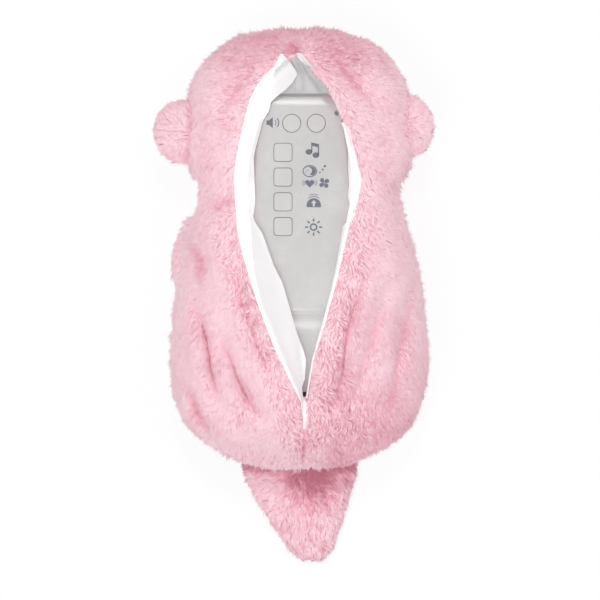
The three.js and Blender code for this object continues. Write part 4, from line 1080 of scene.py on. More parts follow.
@dataclass
class Skin:
    """A smooth skin as arrays in millimetres, made from soft solids of the frame."""

    voxel: float = 1.7
    grow: float = 0.35
    rounds: int = 22
    lowest: float = 0.5

    def build(
        self, name: str, nodes: Sequence[Object], shift: Callable | None = None,
    ) -> Mesh:
        """Makes one even, rounded skin round nodes.

        Args:
            name: The mesh's name.
            nodes: The nodes.
            shift: How far each vertex moves out, from its place and normal in millimetres.

        Returns:
            The skin, in metres.
        """
        shape = shape_of(nodes)
        shape.normal_update()
        for vertex in shape.verts:
            vertex.co += vertex.normal * self.grow * MM
        rough = bpy.data.meshes.new(name)
        shape.to_mesh(rough)
        shape.free()
        even = self._even(name, rough)
        shape = bmesh.new()
        shape.from_mesh(even)
        for _ in range(self.rounds):
            relax(shape, 0.5)
        shape.normal_update()
        if shift is not None:
            points = np.array([vertex.co for vertex in shape.verts]) / MM
            normals = np.array([vertex.normal for vertex in shape.verts])
            for vertex, out in zip(shape.verts, shift(points, normals)):
                vertex.co += vertex.normal * out * MM
            relax(shape, 0.3)
        for vertex in shape.verts:
            vertex.co.z = max(vertex.co.z, self.lowest * MM)
        for face in shape.faces:
            face.smooth = True
        shape.to_mesh(even)
        shape.free()
        even.update()
        return even

    def _even(self, name: str, rough: Mesh) -> Mesh:
        """Makes a mesh of even small faces round another, which is removed.

        Args:
            name: Name of the holder that it is made with.
            rough: The other.

        Returns:
            The even mesh.
        """
        holder = bpy.data.objects.new(name, rough)
        bpy.context.scene.collection.objects.link(holder)
        remesh = holder.modifiers.new("even", "REMESH")
        remesh.mode = "VOXEL"
        remesh.voxel_size = self.voxel * MM
        graph = bpy.context.evaluated_depsgraph_get()
        even = bpy.data.meshes.new_from_object(holder.evaluated_get(graph))
        bpy.data.objects.remove(holder)
        bpy.data.meshes.remove(rough)
        return even


def scatter(
    mesh: Mesh, density: Callable[[Points, Points], Points], seed: int,
) -> tuple[Points, Points]:
    """Places on a skin, more where its density is higher.

    Args:
        mesh: The skin, in metres.
        density: Strands to a square millimetre, from places and normals.
        seed: Seed of the places.

    Returns:
        The places in millimetres and the normals there.
    """
    rng = np.random.default_rng(seed)
    mesh.calc_loop_triangles()
    faces = np.zeros(len(mesh.loop_triangles) * 3, np.int32)
    mesh.loop_triangles.foreach_get("vertices", faces)
    faces = faces.reshape(-1, 3)
    points, normals = np.zeros(len(mesh.vertices) * 3), np.zeros(len(mesh.vertices) * 3, np.float32)
    mesh.vertices.foreach_get("co", points)
    mesh.vertex_normals.foreach_get("vector", normals)
    points, normals = points.reshape(-1, 3) / MM, normals.reshape(-1, 3).astype(float)
    a, b, c = (points[faces[:, corner]] for corner in range(3))
    crossed = np.cross(b - a, c - a)
    area = np.linalg.norm(crossed, axis=1) / 2
    wanted = area * density((a + b + c) / 3, unit(crossed))
    count = int(wanted.sum())
    chosen = rng.choice(len(faces), count, p=wanted / wanted.sum())
    first, second = np.sqrt(rng.random(count)), rng.random(count)
    shares = np.column_stack([1 - first, first * (1 - second), first * second])
    roots = sum(shares[:, [corner]] * points[faces[chosen, corner]] for corner in range(3))
    ways = sum(shares[:, [corner]] * normals[faces[chosen, corner]] for corner in range(3))
    return roots, unit(ways)


@dataclass
class StuffedCover:
    """The head and body of the toy: six panels of one continuous skin, and their pile.

    The centre back seam leans by a little as it runs from a place of its own down the back.
    """

    finishes: Finishes
    nodes: dict[str, Object]
    form: CoverForm = field(default_factory=CoverForm)
    slit: SlitForm = field(default_factory=SlitForm)
    creases: list[Crease] = field(default_factory=back_creases)
    neck: float = 64.54
    side_seam: float = 21.85
    back_seam: Place = (3.3, 149.04)
    seam_lean: float = 0.013
    back_density: float = 3.7
    belly_density: float = 0.85
    skin_depth: float = 3.6
    pocket: float = 58.0
    roll_place: float = 9.0
    roll_width: float = 8.0
    seam_depth: float = 1.8
    crown_depth: float = 1.2
    wall_back: float = 1.4
    tail_narrow: float = 2.0
    apex: Place = (1.0, 148.8)
    slit_line: tuple[Place, Place] = ((294, 60), (304, 425))

    def build(self) -> None:
        """Builds the panels and their pile."""
        places = ("back_left", "back_right", "front")
        names = [f"{part}_{place}" for part in ("head", "body") for place in places]
        mesh = Skin().build("cover", [self.nodes[name] for name in names], self._shift)
        self._grow(mesh)
        for name in names:
            self._panel(name, mesh)
        bpy.data.meshes.remove(mesh)

    def _shift(self, points: Points, normals: Points) -> Points:
        """Folds, soft lumps and the rolled edges of the slit.

        Args:
            points: Places, one to a row.
            normals: The skin's way out there.

        Returns:
            How far the skin moves out at each.
        """
        x, y, z = points.T
        upper = ease(normals[:, 2], -0.1, 0.35) * (self.form.depth(points) < self.skin_depth + 3)
        out = 0.55 * waves(points, 34.0, seed=3) + 0.25 * waves(points, 15.0, seed=4)
        for crease in self.creases:
            out = out - upper * crease.sink(points)
        gap = self.slit.edge_gap(points)
        roll = bell(gap - self.roll_place, self.roll_width) * upper
        out = out + roll * (0.5 + 1.6 * ease(-y, -40.0, 20.0))
        seam = bell(x - 6.0, 2.0) * ease(-y, 78.0, 84.0)
        crown = bell(x, 5.0) * ease(y, 145.0, 152.0)
        deep = ease(z, self.pocket, self.pocket + 8.0)
        inside = ease(-gap, 0.2, 2.2) * deep
        narrow = ease(-gap, -0.9, 0.4) * deep * ease(-y, 5.0, 40.0)
        ends = upper * (self.seam_depth * seam + self.crown_depth * crown)
        return out * (1 - inside) - ends - self.wall_back * inside - self.tail_narrow * narrow

    def _density(self, points: Points, normals: Points) -> Points:
        """Where the pile grows: not on the slit's walls or in the pocket.

        Args:
            points: Places, one to a row.
            normals: The skin's way out there.

        Returns:
            Strands to a square millimetre.
        """
        outer = self.form.depth(points) < self.skin_depth
        half = self.form.length / 2
        ends = np.abs(self.form.crown - points[:, 1] - half) > half - 6
        seen = ease(normals[:, 2], -0.55, 0.1)
        amount = self.belly_density + (self.back_density - self.belly_density) * seen
        slit = (self.slit.edge_gap(points) < -0.2) & (points[:, 2] > self.pocket)
        return np.where((outer | ends) & ~slit, amount, 0.0)

    def _flow(self, points: Points, normals: Points) -> Points:
        """Combed away from the slit, down the toy and round its sides.

        Args:
            points: Places, one to a row.
            normals: The skin's way out there.

        Returns:
            The way of the pile at each.
        """
        start, stop = np.array(from_picture(self.slit_line))
        length = np.linalg.norm(stop - start)
        way = (stop - start) / length
        along = np.clip((points[:, :2] - start) @ way, 0, length)
        away = unit(points[:, :2] - start - along[:, None] * way)
        turned = np.clip(normals[:, 2] + 0.3, -0.5, 1.0)[:, None]
        curl = self._curl(points)[:, None]
        head = ease(points[:, 1], 60.0, 110.0)
        side = np.sign(points[:, 0] - start[0] - along * way[0])
        lower = ease(-points[:, 1], -40.0, 10.0)
        edge_way = np.column_stack([-0.2 * side * lower, np.full(len(points), -1.0)])
        away = away * ((1 - curl) * (0.5 + 0.5 * head[:, None])) + 0.6 * curl * edge_way
        gap = self.slit.edge_gap(points)
        lean = (0.9 + 0.8 * ease(points[:, 1], 95.0, 105.0)) * ease(points[:, 1], 0.0, 30.0)
        lean = lean * np.exp(-np.clip(gap, 0, None) / 3.0) * (points[:, 0] > 0)
        flow = np.column_stack([away * turned, np.full(len(points), -0.7)])
        flow[:, 0] -= lean
        flow[:, 1] -= 0.75 - 0.45 * head
        return flow

    def _crop(self, points: Points) -> Points:
        """How much shorter the pile is in the folds and along the slit.

        Args:
            points: Places, one to a row.

        Returns:
            The share of the length that is missing.
        """
        share = 0.35 * bell(np.clip(self.slit.edge_gap(points), 0, None), 2.5)
        for crease in self.creases:
            gap, _ = crease.near(points)
            share = np.maximum(share, 0.25 * bell(gap, 2.5))
        return share * self.form.upper(points)

    def _curl(self, points: Points) -> Points:
        """How curly the pile is: most along the slit's lower half and low on the right.

        Args:
            points: Places, one to a row.

        Returns:
            The curl of each, from 0 to 1.
        """
        gap = self.slit.edge_gap(points)
        lower = ease(-points[:, 1], -80.0, 0.0)
        band = (1 - ease(gap, 12.0, 19.0)) * (0.2 + 0.8 * lower)
        head = 0.24 * ease(points[:, 1], 0.0, 50.0) + 0.1 * ease(points[:, 1], 115.0, 150.0)
        most = np.maximum(band, head)
        for x, y, wide, tall, amount in CURLY_PLACES:
            middle = np.array(from_picture([(x, y)]))
            far = (((points[:, :2] - middle) / (np.array([wide, tall]) * PIXEL)) ** 2).sum(axis=1)
            most = np.maximum(most, amount * np.exp(-far))
        return np.clip(most * self.form.upper(points), 0, 1)

    def _shade(self, points: Points) -> Points:
        """Painted shade in the pile's tint: darker in the folds, round the crown, at the slit's top end,
        low on the right and where it is curly, over random tone.

        Args:
            points: Places, one to a row.

        Returns:
            How much lighter the tint of each is.
        """
        x, y, _ = points.T
        value = 0.035 * waves(points, 30.0, seed=11)
        # Painted shade in the folds, deepest along each fold's line.
        for crease in self.creases:
            gap, full = crease.near(points)
            fade = full * self.form.upper(points)
            value = value - 0.1 * crease.depth * fade * bell(gap, 0.65 * crease.width)
            value = value - 0.045 * crease.depth * fade * bell(gap, 1.9 * crease.width)
        # Painted shade round the crown, at the slit's top end and low on the right.
        value = value - 0.2 * ease(y, 128.0, 160.0)
        value = value - 0.35 * bell(np.hypot(x - self.apex[0], y - self.apex[1]), 4.2)
        value = value - 0.2 * ease(x, 6.0, 30.0) * ease(-y, 20.0, 90.0)
        # Painted shade where the pile is curly.
        return value - 0.1 * self._curl(points)

    def _grow(self, mesh: Mesh) -> None:
        """Grows the pile and shares it among the panels.

        Args:
            mesh: The whole skin.
        """
        roots, normals = scatter(mesh, self._density, seed=21)
        pile = Pile(seed=31, flow=self._flow, curl=self._curl, shade=self._shade, crop=self._crop)
        strands = pile.grow(roots, normals)
        over = np.minimum(self.slit.edge_gap(strands.tip), self.slit.edge_gap(strands.bend))
        right, y = roots[:, 0] > self.form.centre, roots[:, 1]
        hang = np.where(right & (y > 0), -2.6, np.where(right & (y > -45), -1.2, -0.2))
        clear = (over > hang) | (strands.tip[:, 2] < self.pocket)
        strands, roots = strands.part(clear), roots[clear]
        head = roots[:, 1] > self.neck
        back = roots[:, 2] > self.side_seam
        across, along = self.back_seam
        left = roots[:, 0] < across + self.seam_lean * (roots[:, 1] - along)
        for part, of_part in (("head", head), ("body", ~head)):
            places = (("back_left", back & left), ("back_right", back & ~left), ("front", ~back))
            for place, of_place in places:
                hang_pile(f"{part}_{place}", strands.part(of_part & of_place), self.finishes["pile"])

    def _panel(self, name: str, mesh: Mesh) -> None:
        """Cuts one panel out of the whole skin and closes its seams.

        Args:
            name: The panel's node.
            mesh: The whole skin.
        """
        shape = bmesh.new()
        shape.from_mesh(mesh)
        front = name.endswith("front")
        cuts = [((0, self.neck, 0), (0, 1 if name.startswith("body") else -1, 0))]
        cuts.append(((0, 0, self.side_seam), (0, 0, 1 if front else -1)))
        if not front:
            seam = Vector((1, -self.seam_lean, 0)).normalized() * (1 if name.endswith("left") else -1)
            cuts.append(((*self.back_seam, 0), tuple(seam)))
        for point, out in cuts:
            cut = bmesh.ops.bisect_plane(
                shape, geom=[*shape.verts, *shape.edges, *shape.faces], dist=1e-7,
                plane_co=Vector(point) * MM, plane_no=out, clear_outer=True,
            )
            edges = [item for item in cut["geom_cut"] if isinstance(item, bmesh.types.BMEdge)]
            bmesh.ops.triangle_fill(shape, edges=edges, use_beauty=True)
        bmesh.ops.recalc_face_normals(shape, faces=shape.faces)
        made = from_bmesh(f"{name}_cover", shape, self.finishes["pile_backing"], smooth=60.0)
        settle(made, node=name)


def hang_pile(
    name: str, strands: Strands, material: Material, body: str = "toy", most: int = 32000,
) -> None:
    """Makes the pile pieces of a panel, each under the most strands.

    Args:
        name: The panel's name.
        strands: Its strands.
        material: The pile's finish.
        body: The body that it moves with.
        most: Most strands in a piece.
    """
    parts = max(1, math.ceil(len(strands.root) / most))
    order = np.argsort(-strands.root[:, 1], kind="stable")
    for number, chosen in enumerate(np.array_split(order, parts), 1):
        mesh = strands.part(chosen).mesh(name)
        settle(link(f"{name}_pile_{number}", mesh, material), body)


@dataclass
class Limb:
    """A small stuffed piece: an ear, an arm, a foot, the tail, the muzzle or the belly's patch."""

    name: str
    node: Object
    body: str = "toy"
    voxel: float = 1.8
    rounds: int = 10
    density: float = 3.1
    length: float = 6.0
    seed: int = 50
    way: tuple[float, float, float] = (0.0, -1.0, 0.0)
    spread: float = 0.5
    shade: float = 0.0
    deepest: float = 1.0
    curl: float = 0.12
    form: CoverForm = field(default_factory=CoverForm)

    def build(self, finishes: Finishes) -> None:
        """Builds the skin and its pile.

        Args:
            finishes: The materials.
        """
        skin = Skin(self.voxel, grow=0.1, rounds=self.rounds)
        mesh = skin.build(self.name, [self.node], lambda points, _: 0.3 * waves(points, 16.0, self.seed))
        roots, normals = scatter(mesh, self._density, self.seed)
        pile = Pile(
            self.length, seed=self.seed + 1, flow=self._flow,
            curl=lambda points: np.full(len(points), self.curl), shade=self._shade,
        )
        hang_pile(self.name, pile.grow(roots, normals), finishes["pile"], self.body)
        made = link(f"{self.name}_cover", mesh, finishes["pile_backing"])
        settle(made, self.body, self.name)

    def _middle(self) -> Points:
        """The middle of the node's box."""
        low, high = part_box(self.name)
        return np.array((low + high) / 2) / MM

    def _density(self, points: Points, normals: Points) -> Points:
        """Strands to a square millimetre: none inside the body, fewer below."""
        free = self.form.depth(points) < self.deepest
        return np.where(free, self.density * (0.45 + 0.55 * ease(normals[:, 2], -0.6, 0.1)), 0.0)

    def _flow(self, points: Points, _: Points) -> Points:
        """Combed along the limb and out from its middle."""
        away = unit(points - self._middle())
        return np.array(self.way) + self.spread * away + np.array([0.0, 0.0, -0.25])

    def _shade(self, points: Points) -> Points:
        """Lighter or darker pile, with painted shade on the tail where the body hangs over it.

        Args:
            points: Places, one to a row.

        Returns:
            How much lighter the tint of each is.
        """
        x, y, z = points.T
        shade = self.shade + 0.05 * waves(points, 18.0, self.seed + 2)
        # Painted shade on the tail's upper side, under the overhanging body.
        if self.name == "tail":
            level = self._middle()[2]
            middle = 0.6 * bell(x - 10.0, 17.0) * (1 - ease(-y, 105.0, 140.0))
            under = np.maximum(middle, 0.35 * (1 - ease(-y, 106.0, 113.0)))
            shade = shade - ease(z, level - 3, level + 3) * under
        return shade


def body_of(node: Object) -> str:
    """The name of the body that a node moves with."""
    return node.parent.name.split(":")[1]


@dataclass
class MouldedPart:
    """A hard node with its edges finely rounded."""

    name: str
    node: Object
    radius: float = 0.15
    segments: int = 2
    sharp: float = 32.0

    def build(self, material: Material, slot: str) -> None:
        """Builds the part in place of its node.

        Args:
            material: Its finish.
            slot: Not used.
        """
        shape = shape_of([self.node])
        bmesh.ops.dissolve_limit(shape, angle_limit=math.radians(1.0), verts=shape.verts, edges=shape.edges)
        self.form(shape)
        edges = [
            edge for edge in shape.edges
            if len(edge.link_faces) == 2 and edge.calc_face_angle(0.0) > math.radians(self.sharp)
        ]
        bmesh.ops.bevel(
            shape, geom=edges, offset=self.radius * MM, segments=self.segments, profile=0.5,
            affect="EDGES", clamp_overlap=True, material=-1,
        )
        made = from_bmesh(f"{self.name}_finished", shape, material, smooth=30.0)
        for face in made.data.polygons:
            face.use_smooth = abs(face.normal.z) < 0.9999
        settle(made, body_of(self.node), self.name)

    def form(self, shape: Shape) -> None:
        """Changes the form before its edges are rounded."""


@dataclass(frozen=True)
class Dip:
    """A place along a face where it sinks softly, by a depth at its line and over a reach to both sides."""

    line: float
    below: float
    above: float
    depth: float
    steps: int = 8
    floor: float = 60.0

    def sink(self, y: float) -> float:
        """How far the face sinks.

        Args:
            y: The place along the face.

        Returns:
            The depth there.
        """
        reach = self.above if y > self.line else self.below
        share = max(0.0, 1 - abs(y - self.line) / reach) if reach else 1.0
        return self.depth * (share**2 if self.above == 0 else (1 - math.cos(math.pi * share)) / 2)

    def cut(self, shape: Shape) -> None:
        """Cuts the face into rows across it and sinks them.

        Args:
            shape: The part.
        """
        for step in range(self.steps + 1):
            for reach in (-self.below, self.above):
                level = self.line + reach * step / self.steps
                bmesh.ops.bisect_plane(
                    shape, geom=[*shape.verts, *shape.edges, *shape.faces], dist=1e-7,
                    plane_co=(0, level * MM, 0), plane_no=(0, 1, 0),
                )
        for vertex in shape.verts:
            if vertex.co.z > self.floor * MM:
                vertex.co.z -= self.sink(vertex.co.y / MM) * MM


@dataclass
class DippedPart(MouldedPart):
    """A moulded part with soft dips across it, and narrow mouths over its screws."""

    dips: tuple[Dip, ...] = ()
    mouths: tuple[Place, ...] = ()
    mouth_radius: float = 3.2
    mouth_share: float = 0.6
    mouth_floor: float = 60.0
    stretch: float = 0.0

    def form(self, shape: Shape) -> None:
        """Draws the mouths in, stretches the end and sinks the dips.

        Args:
            shape: The part.
        """
        end = max(vertex.co.y for vertex in shape.verts)
        for vertex in shape.verts:
            if vertex.co.y > end - 0.4 * MM:
                vertex.co.y += self.stretch * MM
            for x, y in self.mouths:
                away = Vector((vertex.co.x / MM - x, vertex.co.y / MM - y))
                if away.length < self.mouth_radius and vertex.co.z > self.mouth_floor * MM:
                    vertex.co.x = (x + away.x * self.mouth_share) * MM
                    vertex.co.y = (y + away.y * self.mouth_share) * MM
        for dip in self.dips:
            dip.cut(shape)


class Print:
    """Flat signs printed on the control face, as slim closed slabs."""

    def __init__(self, level: float, thickness: float = 0.07) -> None:
        """Starts an empty print.

        Args:
            level: Height of the face that it lies on.
            thickness: Thickness of the ink.
        """
        self.shape = bmesh.new()
        self.low = level
        self.high = level + thickness

    def slab(self, points: Sequence[Place]) -> None:
        """Adds a closed slab.

        Args:
            points: Its outline in plan.
        """
        outline = [self.shape.verts.new((x * MM, y * MM, self.low * MM)) for x, y in points]
        face = self.shape.faces.new(outline)
        raised = bmesh.ops.extrude_face_region(self.shape, geom=[face], use_keep_orig=True)
        for item in raised["geom"]:
            if isinstance(item, bmesh.types.BMVert):
                item.co.z = self.high * MM

    def disc(self, x: float, y: float, across: float, along: float | None = None, steps: int = 24) -> None:
        """Adds a filled round or oval dot."""
        self.slab(arc(x, y, across, along or across, 0, 360, steps)[:-1])

    def band(
        self, x: float, y: float, radius: float, width: float, start: float = 0, end: float = 360,
        along: float | None = None, steps: int = 20,
    ) -> None:
        """Adds a stroke along an arc, in two halves where it goes all round.

        Args:
            x: The arc's middle.
            y: The arc's middle.
            radius: Its radius across.
            width: The stroke's width.
            start: The angle where it starts, in degrees.
            end: The angle where it ends.
            along: Its radius along, if that is another.
            steps: Its steps.
        """
        tall = along or radius
        outer = arc(x, y, radius + width / 2, tall + width / 2, start, end, steps)
        inner = arc(x, y, radius - width / 2, tall - width / 2, start, end, steps)
        half = steps if end - start < 360 else steps // 2
        for first in range(0, steps, half):
            self.slab([*outer[first:first + half + 1], *reversed(inner[first:first + half + 1])])

    def stroke(self, start: Place, end: Place, width: float) -> None:
        """Adds a straight stroke.

        Args:
            start: Where it starts.
            end: Where it ends.
            width: Its width.
        """
        way = (Vector(end) - Vector(start)).normalized() * width / 2
        aside = ((1, start), (-1, start), (-1, end), (1, end))
        self.slab([(x - sign * way.y, y + sign * way.x) for sign, (x, y) in aside])

    def finish(self, name: str, material: Material, slot: str, body: str = "toy") -> None:
        """Makes the printed piece.

        Args:
            name: Its name.
            material: Its finish.
            slot: Not used.
            body: The body that it moves with.
        """
        bmesh.ops.recalc_face_normals(self.shape, faces=self.shape.faces)
        order_faces(self.shape)
        settle(from_bmesh(name, self.shape, material, smooth=None), body)


def arc(
    x: float, y: float, across: float, along: float, start: float, end: float, steps: int,
) -> list[Place]:
    """Points on an oval from one angle to another in degrees."""
    angles = [math.radians(start + (end - start) * step / steps) for step in range(steps + 1)]
    return [(x + across * math.cos(angle), y + along * math.sin(angle)) for angle in angles]


@dataclass
class ControlSigns:
    """The signs beside the buttons and the marks on the two round ones."""

    finishes: Finishes
    level: float = 66.0
    button_level: float = 66.5
    button_row: float = 105.94
    line: float = 0.95

    def build(self) -> None:
        """Builds every sign and mark."""
        for draw in (
            self._sound, self._music, self._sleep, self._heart, self._fan, self._breathing, self._light,
        ):
            sign = Print(self.level)
            draw(sign)
            sign.finish(f"sign{draw.__name__}", self.finishes["print"], "case")
        arrow = Print(self.level + 0.07, 0.05)
        arrow.slab([
            (11.5, 54.5), (12.8, 54.5), (12.8, 56.5), (13.9, 56.5), (12.15, 58.6), (10.4, 56.5),
            (11.5, 56.5),
        ])
        arrow.finish("sign_breathing_arrow", self.finishes["case"], "case")
        self._mark("volume_down", -1.5, False)
        self._mark("volume_up", 13.7, True)

    def _mark(self, button: str, x: float, upright: bool) -> None:
        """Raises a minus or a plus on a round button.

        Args:
            button: The body that it is on.
            x: Its place across.
            upright: Whether it has an upright stroke.
        """
        mark = Print(self.button_level, 0.12)
        y, reach, width = self.button_row, 1.9, 0.5
        mark.stroke((x - reach, y), (x + reach, y), width)
        if upright:
            mark.stroke((x, y + width / 2), (x, y + reach), width)
            mark.stroke((x, y - reach), (x, y - width / 2), width)
        mark.finish(f"mark_{button}", self.finishes["case"], "button", button)

    def _sound(self, sign: Print) -> None:
        """A loudspeaker with two waves.

        Args:
            sign: Where it is drawn.
        """
        sign.slab([
            (-17.1, 104.9), (-15.6, 104.9), (-13.2, 102.9), (-13.2, 109.7), (-15.6, 107.7), (-17.1, 107.7),
        ])
        sign.band(-13.2, 106.3, 2.0, 0.5, -48, 48)
        sign.band(-13.2, 106.3, 3.7, 0.6, -48, 48)

    def _music(self, sign: Print) -> None:
        """Two joined notes.

        Args:
            sign: Where it is drawn.
        """
        sign.disc(9.1, 88.2, 2.05, 1.75)
        sign.disc(13.4, 86.2, 2.05, 1.75)
        sign.slab([
            (10.55, 88.2), (11.25, 88.2), (11.25, 91.9), (14.65, 91.1), (14.65, 86.2), (15.4, 86.2),
            (15.4, 93.0), (10.55, 94.1),
        ])

    def _sleep(self, sign: Print) -> None:
        """A moon in an oval, with three small dots rising from it.

        Args:
            sign: Where it is drawn.
        """
        x, y = 9.7, 76.3
        sign.band(x, y, 4.2, 0.62, along=3.4, steps=36)
        crescent = arc(x, y, 3.7, 2.9, -70, 120, 16)
        inner = arc(x - 1.7, y + 0.3, 3.1, 2.4, -56, 96, 16)
        sign.slab([*crescent, *reversed(inner)])
        sign.disc(x - 1.5, y + 0.6, 0.35, steps=12)
        sign.disc(x - 2.6, y - 0.6, 0.3, steps=12)
        for dx, dy, radius in ((6.2, -0.8, 0.5), (7.9, 1.0, 0.62), (9.3, 3.1, 0.75)):
            sign.disc(x + dx, y + dy, radius, steps=16)

    def _heart(self, sign: Print) -> None:
        """A beating heart.

        Args:
            sign: Where it is drawn.
        """
        x, y = 9.6, 68.8
        outline = []
        for step in range(36):
            t = math.radians(10 * step)
            tall = 13 * math.cos(t) - 5 * math.cos(2 * t) - 2 * math.cos(3 * t) - math.cos(4 * t)
            outline.append((x + 0.178 * 16 * math.sin(t) ** 3, y + 0.172 * tall))
        sign.slab(outline)
        for side in (0, 180):
            for radius in (3.4, 4.3):
                sign.band(x, y + 0.2, radius, 0.3, side - 24, side + 24, steps=10)

    def _fan(self, sign: Print) -> None:
        """A fan with four blades.

        Args:
            sign: Where it is drawn.
        """
        blade = [(0.15, 0.1), (0.9, 1.5), (2.2, 2.0), (3.2, 1.3), (3.4, 0.1), (2.6, -0.7), (1.2, -0.5)]
        for turn in range(4):
            angle = math.radians(90 * turn + 20)
            along, aside = math.cos(angle), math.sin(angle)
            sign.slab([(18.6 + a * along - b * aside, 69.0 + a * aside + b * along) for a, b in blade])

    def _breathing(self, sign: Print) -> None:
        """A dome with an arrow and two waves over it.

        Args:
            sign: Where it is drawn.
        """
        x, y = 12.15, 55.2
        sign.slab([*arc(x, y, 4.4, 4.4, 0, 180, 24), (x - 4.4, y - 1.2), (x + 4.4, y - 1.2)])
        sign.band(x, y, 5.5, 0.4, 52, 128)
        sign.band(x, y, 6.8, 0.4, 66, 114)

    def _light(self, sign: Print) -> None:
        """A sun with eight rays.

        Args:
            sign: Where it is drawn.
        """
        x, y = 12.0, 41.7
        sign.band(x, y, 1.9, self.line, steps=32)
        for turn in range(8):
            angle = math.radians(45 * turn)
            start, end = ((x + far * math.cos(angle), y + far * math.sin(angle)) for far in (3.4, 5.3))
            sign.stroke(start, end, self.line)


def cloth(name: str, grid: Points, thickness: float, material: Material) -> Object:
    """A sheet of cloth over a grid of places.

    Args:
        name: The object's name.
        grid: Rows of places in millimetres, the outer side up.
        thickness: The cloth's thickness.
        material: Its finish.

    Returns:
        The object, a closed shell.
    """
    shape = bmesh.new()
    rows = [[shape.verts.new(point * MM) for point in row] for row in grid]
    for first, second in zip(rows, rows[1:]):
        for a, b, c, d in zip(first, first[1:], second[1:], second):
            shape.faces.new((a, b, c, d))
    bmesh.ops.recalc_face_normals(shape, faces=shape.faces)
    if sum(face.normal.z for face in shape.faces) < 0:
        bmesh.ops.reverse_faces(shape, faces=shape.faces)
    shape.normal_update()
    ways = [vertex.normal.copy() for vertex in shape.verts]
    lower = bmesh.ops.extrude_face_region(shape, geom=list(shape.faces), use_keep_orig=True)
    under = [item for item in lower["geom"] if isinstance(item, bmesh.types.BMVert)]
    for vertex, way in zip(under, ways):
        vertex.co -= way * thickness * MM
    bmesh.ops.recalc_face_normals(shape, faces=shape.faces)
    order_faces(shape)
    return from_bmesh(name, shape, material, smooth=70.0)


def cut_of(grid: Points) -> tuple[tuple[float, float], float]:
    """The flat cut of a sheet that lies on a grid of places.

    Args:
        grid: Rows of places in millimetres.

    Returns:
        Its greatest width and its length, and its area, in metres.
    """
    width = np.linalg.norm(np.diff(grid, axis=1), axis=2).sum(axis=1).max()
    length = np.linalg.norm(np.diff(grid, axis=0), axis=2).sum(axis=0).max()
    first = grid[1:, 1:] - grid[:-1, :-1]
    second = grid[1:, :-1] - grid[:-1, 1:]
    area = np.linalg.norm(np.cross(first, second), axis=2).sum() / 2
    area = min(max(area, 0.3 * width * length), width * length)
    return (float(width * MM), float(length * MM)), float(area * MM * MM)


@dataclass
class SlitCloth:
    """Cloth in the slit, laid over rows of places from a start to an end along the toy."""

    name: str
    side: Side
    start: float
    end: float
    across: int = 14
    along: int = 150
    lift: float = 1.5
    thickness: float = 0.7
    serration: float = 0.0
    tooth: float = 1.6
    held: str = "laid"
    rests_on: tuple[str, ...] = ("body_back_left_cover", "head_back_left_cover")
    seed: int = 40
    slit: SlitForm = field(default_factory=SlitForm)

    def build(self, material: Material, slot: str) -> None:
        """Builds the cloth.

        Args:
            material: Its finish.
            slot: Not used.
        """
        grid = self.grid(np.linspace(self.start, self.end, self.along + 1))
        made = cloth(f"{self.name}_cloth", grid, self.thickness, material)
        settle(made, node=self.name)
        flat, area = cut_of(grid)
        LOG.info("%s: cut %.1f x %.1f mm, %.0f mm2", made.name, flat[0] / MM, flat[1] / MM, area / MM / MM)

    def grid(self, y: Points) -> Points:
        """The places of the cloth, from its rows' places along the toy."""
        raise NotImplementedError

    def wall(self, y: Points) -> tuple[Points, Points, Points]:
        """The slit's wall beside rows.

        Args:
            y: The rows' places along the toy.

        Returns:
            The wall's fold and edge at each, and the way from it into the slit.
        """
        fold, edge = self.slit.wall(self.side, np.clip(self.slit.way(y), 0, 1))
        up = unit(edge - fold)
        return fold, edge, self.side.value * np.column_stack([-up[:, 2], 0 * y, up[:, 0]])

    def teeth(self, y: Points) -> Points:
        """How far the woven edge sticks out at rows."""
        return self.serration * np.sin(y * 2 * math.pi / self.tooth)

    def keep_low(self, grid: Points, most: float) -> None:
        """Keeps the cloth at most a height over the cover's back."""
        back = self.slit.cover.back(grid[:, :, 0], grid[:, :, 1])
        grid[:, :, 2] = np.minimum(grid[:, :, 2], back + most)


@dataclass
class EdgedCloth(SlitCloth):
    """Cloth from one wall of the slit, or from a rim of its own, in over the module to an inner edge."""

    inner: Sequence[Place] = ()
    outer: Sequence[Place] | None = None
    curl: float = 0.4
    swell: float = 0.0
    wrinkle: float = 0.35

    def grid(self, y: Points) -> Points:
        """The places of the cloth.

        Args:
            y: The rows' places along the toy.

        Returns:
            The places, row by row.
        """
        fold, edge, _ = self.wall(y)
        outer = edge[:, 0] + self.side.value * 0.5 if self.outer is None else self._line(self.outer, y)
        inner = self._line(self.inner, y) + self.teeth(y)
        share = np.linspace(0, 1, self.across + 1)[None, :]
        x = outer[:, None] + (inner - outer)[:, None] * share
        climb = (fold[:, [0]] - x) / (fold[:, [0]] - edge[:, [0]] + 1e-6)
        z = fold[:, [2]] + np.clip(climb, 0, 1.02) * (edge[:, [2]] - fold[:, [2]])
        z = z + self.lift + self.curl * share**3 + self.swell * np.sin(np.pi * share)
        grid = np.stack([x, np.broadcast_to(y[:, None], x.shape), z], axis=2)
        flat = grid.reshape(-1, 3)[:, :2]
        ripple = 0.65 * waves(flat, 15.0, self.seed) + 0.35 * waves(flat, 6.0, self.seed + 1)
        grid[:, :, 2] += self.wrinkle * ripple.reshape(x.shape)
        self.drape(grid, y)
        return grid

    def _line(self, line: Sequence[Place], y: Points) -> Points:
        """Where a line lies across the toy at rows."""
        places = np.array(sorted(line, key=lambda place: place[1]))
        return np.interp(y, places[:, 1], places[:, 0])

    def drape(self, grid: Points, y: Points) -> None:
        """Changes the lay of the cloth."""


